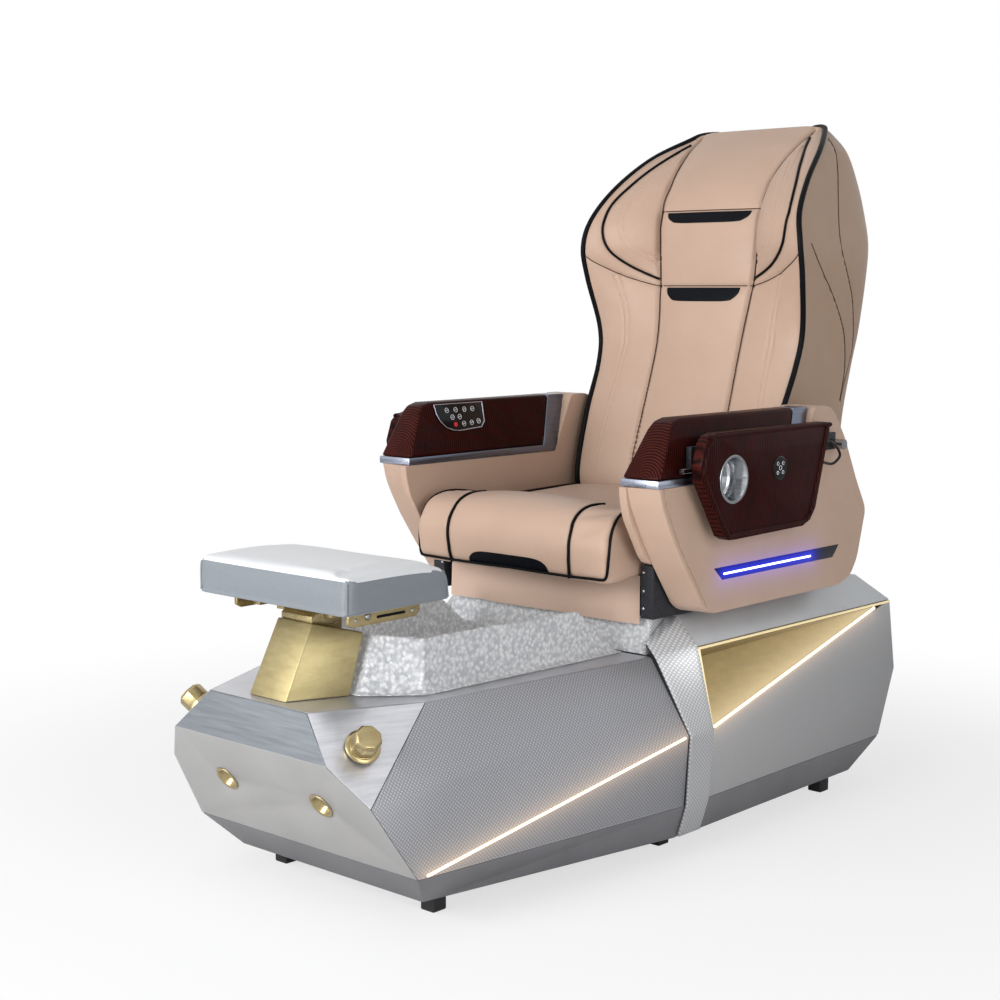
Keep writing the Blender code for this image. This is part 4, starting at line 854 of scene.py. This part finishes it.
# Back table rows: height, half width, edge y, middle y, rear y
backRows = [
    (0.578, 0.254, 0.412, 0.404, 0.735), (0.672, 0.257, 0.388, 0.394, 0.742), (0.803, 0.260, 0.423, 0.435, 0.750),
    (0.917, 0.265, 0.471, 0.472, 0.772), (0.997, 0.273, 0.484, 0.494, 0.788), (1.109, 0.287, 0.457, 0.514, 0.797),
    (1.179, 0.290, 0.443, 0.519, 0.802), (1.242, 0.277, 0.457, 0.526, 0.802), (1.313, 0.256, 0.519, 0.560, 0.791),
    (1.380, 0.226, 0.610, 0.625, 0.773), (1.422, 0.182, 0.694, 0.688, 0.756), (1.438, 0.160, 0.716, 0.712, 0.742),
]


def evenTable(rows, count):
    # smooth curve through the rows, resampled evenly along its length in height and depth
    table = np.array(rows)
    dense = []
    for k in range(len(table) - 1):
        p0, p1, p2, p3 = table[max(k - 1, 0)], table[k], table[k + 1], table[min(k + 2, len(table) - 1)]
        dense += [curveAt(p0, p1, p2, p3, f) for f in np.linspace(0.0, 1.0, 24, endpoint=False)]
    dense = np.array(dense + [table[-1]])
    steps = np.hypot(np.diff(dense[:, 0]), np.diff(dense[:, 3]))
    reach = np.concatenate([[0.0], np.cumsum(steps)])
    wanted = np.linspace(0.0, reach[-1], count)
    return np.stack([np.interp(wanted, reach, dense[:, i]) for i in range(dense.shape[1])], axis=1)


def rowAt(z):
    table = np.array(backRows)
    return [float(np.interp(z, table[:, 0], table[:, i])) for i in range(1, 5)]


backSeams = {
    "centre": [(0.114, 0.600), (0.114, 0.809), (0.113, 0.968), (0.125, 1.095), (0.132, 1.190), (0.134, 1.272),
               (0.136, 1.329), (0.146, 1.395), (0.152, 1.436)],
    "wing": [(0.160, 1.411), (0.202, 1.352), (0.240, 1.278), (0.246, 1.221), (0.233, 1.174), (0.190, 1.136),
             (0.129, 1.106)],
    "under": [(0.284, 1.157), (0.270, 1.146), (0.245, 1.132), (0.210, 1.115), (0.165, 1.100), (0.127, 1.091)],
    "bolster": [(0.221, 1.116), (0.206, 1.060), (0.198, 1.014), (0.195, 0.941), (0.201, 0.841), (0.208, 0.720),
                (0.210, 0.640)],
    "brow": [(0.163, 1.390), (0.190, 1.312), (0.206, 1.250), (0.199, 1.204), (0.168, 1.166), (0.131, 1.147)],
}
centreX, centreZ = zip(*backSeams["centre"])


def centreAt(z):
    # half the centre panel's width at a height
    return float(np.interp(z, centreZ, centreX))


def padDepth(x, z, half, edge, middle):
    # crowned centre panel, wings that swell forward above and dish below
    xs = centreAt(z)
    a = abs(x)
    if a < xs:
        return middle - 0.007 * (1.0 - (a / xs) ** 2)
    t = min(1.0, (a - xs) / max(1e-4, half - xs))
    return middle + (edge - middle) * t ** float(np.interp(z, [1.09, 1.18], [1.25, 0.62]))


def padSpot(x, z):
    half, edge, middle, rear = rowAt(z)
    return Vector((x, padDepth(x, z, half, edge, middle), z))


def seamPath(name, count):
    # a seam as a smooth flat line, X and height
    return smoothLine([(x, z, 0.0) for x, z in backSeams[name]], count)


def eased(line, reach=6):
    # running mean along a line, ends kept
    pts = [Vector(p) for p in line]
    out = []
    for i in range(len(pts)):
        k = min(reach, i, len(pts) - 1 - i)
        out.append(sum(pts[i - k:i + k + 1], Vector()) / (2 * k + 1))
    return out


def nearest(spots, verts):
    # distance from every vertex to the closest of the sampled line points
    tree = KDTree(len(spots))
    for i, spot in enumerate(spots):
        tree.insert(spot, i)
    tree.balance()
    return np.array([tree.find(v.co)[2] for v in verts])


coverCloth = {"vertex_group_mass": "held", "use_pressure": True, "mass": 0.4, "tension_stiffness": 18.0,
              "compression_stiffness": 18.0, "shear_stiffness": 8.0, "bending_stiffness": 1.2, "quality": 5}


def swell(work, held, pressure, frames, cap):
    # inflates a cover as cloth that is held at its seams; each vertex keeps within the cap
    mesh = bpy.data.meshes.new("coverCloth")
    work.to_mesh(mesh)
    cover = newObject("coverCloth", mesh)
    grip = cover.vertex_groups.new(name="held")
    for i, weight in enumerate(held):
        if weight > 0.01:
            grip.add([i], float(weight), "REPLACE")
    cloth = cover.modifiers.new("swell", "CLOTH")
    for key, value in coverCloth.items():
        setattr(cloth.settings, key, value)
    cloth.settings.uniform_pressure_force = pressure
    cloth.settings.effector_weights.gravity = 0.0
    cloth.collision_settings.use_collision = False
    cloth.point_cache.frame_start = 1
    cloth.point_cache.frame_end = frames
    for i in range(1, frames + 1):
        scene.frame_set(i)
    settled = cover.evaluated_get(bpy.context.evaluated_depsgraph_get()).to_mesh()
    after = np.empty(len(settled.vertices) * 3)
    settled.vertices.foreach_get("co", after)
    after = after.reshape(-1, 3)
    largest = 0.0
    work.verts.ensure_lookup_table()
    for i, v in enumerate(work.verts):
        step = Vector(after[i]) - v.co
        largest = max(largest, step.length)
        if step.length > cap:
            step = step * (cap / step.length)
        v.co += step
    bpy.data.objects.remove(cover, do_unlink=True)
    bpy.data.meshes.remove(mesh)
    scene.frame_set(1)
    print("cloth settled, largest move %.1f mm" % (largest * 1000))


def lifted(tree, spot, lift=0.0):
    # the nearest place on a cover, moved out along its normal
    hit = tree.find_nearest(spot)
    return hit[0] + hit[1] * lift


def pressSeams(work, seams):
    # grooves pressed along seam lines: spots, depth, width
    work.normal_update()
    verts = list(work.verts)
    total = np.zeros(len(verts))
    for spots, depth, width in seams:
        total += depth * np.exp(-(nearest(spots, verts) / width) ** 2)
    for v, depth in zip(verts, total):
        if depth > 1e-6:
            v.co -= v.normal * float(depth)


def twinRows(gap, spotAt):
    # the two stitch rows beside each bolster and brow seam, both sides
    rows = []
    for name in ("bolster", "brow"):
        path = seamPath(name, 120)
        for word, side in sides:
            for shift in (-gap, gap):
                row = []
                for a, b in zip(path, path[1:]):
                    way = (b - a).normalized()
                    row.append(spotAt(side * (a.x - way.y * shift), a.y + way.x * shift))
                rows.append(row)
    return rows


backPad = {"columns": 104, "rows": 172, "puff": 0.0045, "soft": 0.020, "pressure": 3.0, "cap": 0.008, "frames": 14}
topRows = backRows + [(1.4375, 0.152, 0.735, 0.733, 0.744), (1.428, 0.148, 0.746, 0.746, 0.748)]
table = evenTable([(0.610, 0.2545, 0.404, 0.398, 0.738)] + topRows[1:], backPad["rows"] + 1)
work = gridMesh(backPad["columns"], backPad["rows"])
for v in work.verts:
    u = v.co.x
    z, half, edge, middle, rear = table[int(round((v.co.y + 1.0) * 0.5 * backPad["rows"]))]
    reach = half - 0.004
    xs = min(centreAt(z), reach - 0.003)
    # one grid column lies on each centre seam
    x = xs * u / 0.5 if abs(u) <= 0.5 else math.copysign(xs + (reach - xs) * (abs(u) - 0.5) / 0.5, u)
    v.co = (x, padDepth(x, z, reach, edge, middle), z)
outward(work)
if sum(f.normal.y for f in work.faces) > 0:
    bmesh.ops.reverse_faces(work, faces=work.faces)
work.normal_update()
lines = {}
for name in backSeams:
    spots = [padSpot(p.x, p.y) for p in seamPath(name, 160)]
    lines[name] = spots + mirrored(spots)
across = {"upper": 1.256, "lower": 1.091}  # heights of the two level seams
seamPress = {"centre": (0.0080, 0.0048), "wing": (0.0030, 0.0040), "under": (0.0030, 0.0034),
             "upper": (0.0030, 0.0034), "lower": (0.0030, 0.0034), "twin": (0.0042, 0.0033)}  # depth, width
twinGap = 0.0060
for name, z in across.items():
    xs = centreAt(z)
    lines[name] = [padSpot(xs * t, z) for t in np.linspace(-1.0, 1.0, 120)]
rim = [v.co.copy() for v in work.verts if v.is_boundary]
firmSeams = ("centre", "wing", "under", "upper", "lower")
firm = sum((lines[name] for name in firmSeams), [])
gap = np.minimum(nearest(firm, list(work.verts)), nearest(rim, list(work.verts)))
for v, d in zip(work.verts, gap):
    v.co += v.normal * backPad["puff"] * (1.0 - math.exp(-(d / backPad["soft"]) ** 1.3))
swell(work, np.clip(1.0 - gap / 0.010, 0.0, 1.0), backPad["pressure"], backPad["frames"], backPad["cap"])
work = refined(work)
pressed = [(lines[name],) + seamPress[name] for name in firmSeams]
pressSeams(work, pressed + [(row,) + seamPress["twin"] for row in twinRows(twinGap, padSpot)])
frontTree = BVHTree.FromBMesh(work)


def onBack(x, z, lift=0.0):
    hit = frontTree.ray_cast(Vector((x, -1.0, z)), Vector((0.0, 1.0, 0.0)))
    if hit[0] is None:
        return padSpot(x, z)
    return hit[0] + hit[1] * (lift if hit[1].y < 0 else -lift)


for v in grownRim(work):
    over = min(1.0, max(0.0, (v.co.z - 1.37) / 0.04))
    half, edge, middle, rear = rowAt(v.co.z)
    behind = max(0.0, min(max(middle, edge) + 0.038, rear - 0.020) - v.co.y)
    v.co += Vector((-0.012 * math.copysign(1.0, v.co.x), behind * (1.0 - over), -0.030 * over))
for share in (0.6, 0.5, 0.0):
    bmesh.ops.scale(work, vec=(share, 1.0, 1.0), verts=grownRim(work))
bmesh.ops.remove_doubles(work, verts=work.verts, dist=0.00005)
outward(work)
backFront = place(work, "backFront", "back", [tanLeather], ["back_cushion"], 70.0)

# Black mesh slits under the head panel and the shoulder panel
slits = {"upper": {"half": 0.112, "top": 1.252, "high": 0.0205},
         "lower": {"half": 0.098, "top": 1.087, "high": 0.0270}}
for name, spec in slits.items():
    work = gridMesh(56, 10)
    for v in work.verts:
        down = 0.5 * (1.0 - v.co.y)
        wide = spec["half"] * (1.0 - 0.20 * down ** 2.2)
        v.co = onBack(v.co.x * wide, spec["top"] - spec["high"] * down * (1.0 - 0.10 * abs(v.co.x) ** 6), 0.0012)
    thickened(work, 0.0030)
    place(work, "slit_" + name, "back", [blackLining])

# Leather shell behind the pad, with a seam on each side
shellSet = {"around": 216, "rows": 190, "corner": 6.0}


def shellSpot(side, y, z):
    half, edge, middle, rear = rowAt(z)
    share = min(1.0, max(0.0, (y - edge) / (rear - edge)))
    x = half * (1.0 - share ** shellSet["corner"]) ** (1.0 / shellSet["corner"])
    return Vector((side * x, y, z))


table = evenTable(backRows, shellSet["rows"] + 1)
work = gridMesh(shellSet["around"], shellSet["rows"])
for v in work.verts:
    turn = 0.5 * (v.co.x + 1.0)
    z, half, edge, middle, rear = table[int(round((v.co.y + 1.0) * 0.5 * shellSet["rows"]))]
    if turn <= 0.75:
        angle = math.pi * turn / 0.75
        n = 2.0 / shellSet["corner"]
        x = half * math.copysign(abs(math.cos(angle)) ** n, math.cos(angle))
        y = edge + (rear - edge) * abs(math.sin(angle)) ** n
    else:
        t = (turn - 0.75) / 0.25
        deep = min(max(middle, edge) + 0.045, rear - 0.016)
        x = -half + 2.0 * half * t
        y = edge + (deep - edge) * min(1.0, 6.0 * t, 6.0 * (1.0 - t))
    v.co = (x, y, z)
bmesh.ops.remove_doubles(work, verts=work.verts, dist=0.00005)
bmesh.ops.holes_fill(work, edges=openEdges(work), sides=0)
outward(work)
shellSeams = {
    "rear": [(0.692, 1.409), (0.681, 1.390), (0.656, 1.344), (0.619, 1.269), (0.600, 1.182), (0.645, 1.104),
             (0.677, 1.052), (0.708, 0.962), (0.702, 0.922), (0.686, 0.882), (0.672, 0.840)],
    "fore": [(0.484, 1.178), (0.513, 1.142), (0.571, 1.087), (0.627, 1.026), (0.655, 0.986), (0.674, 0.935),
             (0.679, 0.896), (0.670, 0.842)],
    "fold": [(0.640, 1.392), (0.618, 1.378), (0.541, 1.309), (0.499, 1.256), (0.481, 1.222), (0.484, 1.178)],
    "dent": [(0.505, 1.125), (0.545, 1.065), (0.580, 1.010), (0.600, 0.960)],
}
shellLines = {name: [] for name in shellSeams}
for name, points in shellSeams.items():
    path = smoothLine([(0.0, y, z) for y, z in points], 220)
    for word, side in sides:
        shellLines[name].append([shellSpot(side, p.y, p.z) for p in path])
pressSeams(work, [(sum(shellLines["rear"] + shellLines["fore"], []), 0.0026, 0.0040),
                  (sum(shellLines["fold"], []), 0.0040, 0.0090), (sum(shellLines["dent"], []), 0.0060, 0.0260)])
shellTree = BVHTree.FromBMesh(work)
backShell = place(work, "backShell", "back", [shadedShellLeather], ["back_shell"], 60.0)

# Piping: a thick cord round the pad, thin cords on the wings
pipes = {"edge": 0.0059, "wing": 0.0027}
outer = [(0.2545, 0.404, 0.600), (0.257, 0.386, 0.672), (0.260, 0.421, 0.803), (0.265, 0.471, 0.917),
         (0.273, 0.484, 0.997), (0.288, 0.456, 1.109), (0.290, 0.442, 1.179), (0.277, 0.457, 1.242),
         (0.256, 0.519, 1.313), (0.226, 0.611, 1.380), (0.182, 0.699, 1.426), (0.164, 0.722, 1.438),
         (0.135, 0.738, 1.4405), (0.090, 0.745, 1.436)]
loop = [Vector(p) for p in outer]
line = smoothLine(loop + mirrored(loop)[::-1], 420)
cord([line], pipes["edge"], 4, "edgePiping", "back", blackWelt)
wings = []
for word, side in sides:
    wings.append(eased([onBack(side * p.x, p.y, 0.0028) for p in seamPath("wing", 150)], 4))
cord(wings, pipes["wing"], 3, "wingPiping", "back", blackWelt)
# dark cords along the shell seams: painted shade in their grooves
shellCords = []
for line in shellLines["rear"] + shellLines["fore"]:
    shellCords.append(eased([lifted(shellTree, spot, 0.0003) for spot in line], 4))
cord(shellCords, 0.0011, 2, "shellSeamShadeCord", "back", seamShadeThread)

# Twin rows of stitching beside the bolster and brow seams; dark thread and a black cord in the panel seams, as
# painted shade
threadSet = {"thin": 0.0011, "deep": 0.0019, "centre": 0.0022, "under": 0.0007, "across": 0.0006, "gap": 0.0004}
rows = twinRows(twinGap, lambda x, z: onBack(x, z, threadSet["gap"]))
place(stitchMesh(rows, 0.0060, 0.0042, 0.0009), "backStitching", "back", [paleThread], smooth=80.0)
thin = []
deep = []
for word, side in sides:
    for name in ("centre", "under"):
        # the deep seam's wall would hide a thread at its foot, so that one lies higher
        path = [p for p in seamPath(name, 200) if 0.612 < p.y < 1.425]
        thin.append(eased([onBack(side * p.x, p.y, threadSet[name]) for p in path], 3))
    path = [p for p in seamPath("centre", 200) if 1.085 < p.y < 1.262]
    deep.append(eased([onBack(side * p.x, p.y, threadSet["gap"]) for p in path], 3))
for z in across.values():
    xs = centreAt(z)
    thin.append(eased([onBack(xs * t, z, threadSet["across"]) for t in np.linspace(-1.0, 1.0, 90)], 3))
cord(thin, threadSet["thin"], 2, "backSeamShadeThread", "back", seamShadeThread)
# black cord along the centre seams between the slits: painted shadow in the deep crease
cord(deep, threadSet["deep"], 2, "backSeamShadow", "back", blackWelt)
print("back upholstered")

# Seat pad: a closed outline drawn across the width, piped and swelled between its seams
seatSet = {"half": 0.252, "front": -0.134, "rear": 0.385, "low": 0.5404, "lip": 0.009, "across": 84, "around": 150,
           "pressure": 2.2, "cap": 0.007, "frames": 14}


def tuckAt(x, half, bend):
    # how far a pad's rounded end has drawn in
    d = max(0.0, abs(x) - (half - bend)) / bend
    return bend * (1.0 - math.sqrt(max(0.0, 1.0 - d * d)))


def seatOutline(x):
    half = seatSet["half"]
    tuck = tuckAt(x, half, 0.020)
    lift = 0.007 * (1.0 - (x / half) ** 2) - 0.50 * tuck
    low = seatSet["low"]
    y0 = seatSet["front"] + 0.45 * tuck
    rear = seatSet["rear"]
    lip = low - seatSet["lip"] + 0.3 * tuck
    return [(y0 + 0.012, lip), (-0.082, lip + 0.001), (-0.054, low), (0.100, low), (rear - 0.012, low),
            (rear, low + 0.014), (rear, low + 0.0900 + lift), (rear - 0.014, low + 0.1040 + lift),
            (0.250, low + 0.1030 + lift), (0.130, low + 0.1010 + lift), (0.060, low + 0.1070 + lift),
            (0.000, low + 0.1210 + lift), (-0.045, low + 0.1265 + lift), (-0.080, low + 0.1250 + lift),
            (-0.108, low + 0.1150 + lift), (y0 + 0.006, low + 0.0950 + 0.7 * lift), (y0 - 0.006, low + 0.0660),
            (y0 - 0.005, low + 0.0350), (y0 + 0.001, lip + 0.010)]


def evenRing(points, count):
    dense = smoothLine([(0.0, y, z) for y, z in points], len(points) * 14, True)
    dense.append(dense[0])
    reach = np.concatenate([[0.0], np.cumsum([(b - a).length for a, b in zip(dense, dense[1:])])])
    wanted = np.linspace(0.0, reach[-1], count + 1)
    ys = np.interp(wanted, reach, [p.y for p in dense])
    zs = np.interp(wanted, reach, [p.z for p in dense])
    return list(zip(ys, zs))


def ringPad(outline, half, across, around, edge):
    # grid wrapped into a tube across X, both ends closed by rings that narrow
    work = gridMesh(across, around)
    rings = {}
    for v in work.verts:
        u = v.co.x
        key = int(round((u + 1.0) * 0.5 * across))
        if key not in rings:
            rings[key] = (half * u, evenRing(outline(half * u), around))
        x, ring = rings[key]
        y, z = ring[int(round((v.co.y + 1.0) * 0.5 * around))]
        v.co = (x, y, z)
    bmesh.ops.remove_doubles(work, verts=work.verts, dist=0.00005)
    for k in range(edge):
        new = grownRim(work)
        for sign in (1.0, -1.0):
            group = [v for v in new if v.co.x * sign > 0]
            middle = sum((v.co for v in group), Vector()) / len(group)
            for v in group:
                v.co = v.co.lerp(middle, 1.0 / (edge + 1 - k)) + Vector((sign * 0.0012 / (k + 1), 0.0, 0.0))
    bmesh.ops.holes_fill(work, edges=openEdges(work), sides=0)
    outward(work)
    inOrder(work)
    return work


work = ringPad(seatOutline, seatSet["half"], seatSet["across"], seatSet["around"], 3)
seatTree = BVHTree.FromBMesh(work)
seatSeams = {
    "inner": [(0.158, -0.030, 0.671), (0.158, -0.050, 0.671), (0.157, -0.080, 0.669), (0.158, -0.108, 0.658),
              (0.159, -0.128, 0.637), (0.160, -0.139, 0.608), (0.159, -0.139, 0.575), (0.157, -0.137, 0.5385)],
    "frame": [(0.238, 0.362, 0.654), (0.238, 0.250, 0.654), (0.238, 0.140, 0.652), (0.239, 0.070, 0.658),
              (0.241, 0.010, 0.670), (0.243, -0.040, 0.674), (0.245, -0.078, 0.667), (0.2465, -0.105, 0.651),
              (0.2475, -0.124, 0.620), (0.2475, -0.129, 0.580), (0.2470, -0.129, 0.553), (0.2440, -0.1315, 0.542),
              (0.236, -0.1345, 0.538), (0.215, -0.1375, 0.5375), (0.157, -0.1375, 0.5375), (0.075, -0.1375, 0.5375),
              (0.0, -0.1375, 0.5375)],
}
seatLines = {}
for name, points in seatSeams.items():
    path = [lifted(seatTree, p) for p in smoothLine(points, 160)]
    seatLines[name] = path + mirrored(path)
gap = nearest(sum(seatLines.values(), []), list(work.verts))
held = [max(0.0, 1.0 - d / 0.010) if v.co.z > seatSet["low"] + 0.004 and v.co.y < 0.360 else 1.0
        for v, d in zip(work.verts, gap)]
swell(work, held, seatSet["pressure"], seatSet["frames"], seatSet["cap"])
work = refined(work)
pressSeams(work, [(seatLines["inner"], 0.0040, 0.0050), (seatLines["frame"], 0.0030, 0.0045)])
seatTree = BVHTree.FromBMesh(work)
seatPad = place(work, "seatPad", "carriage", [tanLeather], ["seat_cushion"], 70.0)
cords = []
for points in seatSeams.values():
    path = smoothLine(points, 120)
    for word, side in sides:
        cords.append(eased(eased([lifted(seatTree, (side * p.x, p.y, p.z), 0.0030) for p in path], 3), 4))
cord(cords, 0.0028, 3, "seatPiping", "carriage", blackWelt)

# Black half-oval at the foot of the seat front
badge = {"half": 0.106, "low": 0.5375, "high": 0.0285, "thick": 0.0034}
work = gridMesh(64, 10)
for v in work.verts:
    up = 0.5 * (v.co.y + 1.0)
    top = max(0.0015, badge["high"] * (1.0 - abs(v.co.x) ** 6.2) ** 0.5)
    x = v.co.x * badge["half"]
    z = badge["low"] + top * up
    hit = seatTree.ray_cast(Vector((x, -0.5, z)), Vector((0.0, 1.0, 0.0)))
    v.co = (x, hit[0].y - 0.0016, z)
drawnOut(work, work.faces[:], (0.0, badge["thick"], 0.0))
place(work, "seatInsert", "carriage", [blackLining])

# Leather flap below the seat front, hung from the pan
flapSet = {"half": 0.250, "top": 0.5385, "low": 0.446, "y": -0.0319, "thick": 0.0026}
work = gridMesh(96, 20)
for v in work.verts:
    down = 0.5 * (1.0 - v.co.y)
    wave = math.sin(7.0 * v.co.x + 0.6) * 0.6 + math.sin(15.0 * v.co.x - 1.1) * 0.25
    v.co = (v.co.x * flapSet["half"], flapSet["y"] + 0.0045 * wave * down ** 1.3 - 0.004 * down,
            flapSet["top"] + (flapSet["low"] - flapSet["top"]) * down)
thickened(work, flapSet["thick"])
flap = place(work, "seatFlap", "carriage", [paintedLightFlapLeather], ["seat_flap"], 60.0)
print("seat upholstered")

# Footrest pad: grey vinyl over foam
restSet = {"half": 0.196, "front": -0.743, "rear": -0.500, "low": 0.5474, "top": 0.615, "across": 64, "around": 104}


def restOutline(x):
    half = restSet["half"]
    tuck = tuckAt(x, half, 0.018)
    crown = 0.0025 * (1.0 - (x / half) ** 2)
    y0 = restSet["front"] + 0.5 * tuck
    y1 = restSet["rear"] - 0.5 * tuck
    low = restSet["low"] + 0.2 * tuck
    top = restSet["top"] - 0.45 * tuck
    return [(y0 + 0.006, low), (0.5 * (y0 + y1), low), (y1 - 0.005, low), (y1, low + 0.006), (y1, 0.5 * (low + top)),
            (y1 - 0.001, top - 0.026), (y1 - 0.010, top - 0.010), (y1 - 0.040, top - 0.003 + 0.5 * crown),
            (0.5 * (y0 + y1), top + crown), (y0 + 0.030, top + 0.7 * crown), (y0 + 0.008, top - 0.001),
            (y0 + 0.001, top - 0.008), (y0 - 0.001, 0.5 * (low + top)), (y0, low + 0.007)]


work = ringPad(restOutline, restSet["half"], restSet["across"], restSet["around"], 3)
held = [1.0 if v.co.z < restSet["low"] + 0.008 else 0.0 for v in work.verts]
swell(work, held, 1.5, 10, 0.003)
work = refined(work)
work.normal_update()
restTree = BVHTree.FromBMesh(work)
for face in work.faces:
    # painted light on the pad's top: by height along the pad, by slope at its rounded ends
    x, y, z = face.calc_center_median()
    inner = abs(x) < restSet["half"] - 0.012
    if z > restSet["top"] - (0.009 if inner else 0.020) and (inner or face.normal.z > 0.55):
        face.material_index = 1
footPad = place(work, "footPad", "footrest", [greyVinyl, topVinylPaintedLight], ["footrest_pad"], 60.0)
welts = []
for word, side in sides:
    for y in (restSet["front"] + 0.003, restSet["rear"] - 0.003):
        spots = [Vector((side * (restSet["half"] - 0.006), y, z)) for z in np.linspace(0.552, 0.604, 24)]
        welts.append(eased([lifted(restTree, spot, 0.0008) for spot in spots], 3))
cord(welts, 0.0022, 3, "footPadWelts", "footrest", greyVinyl)
print("footrest upholstered")
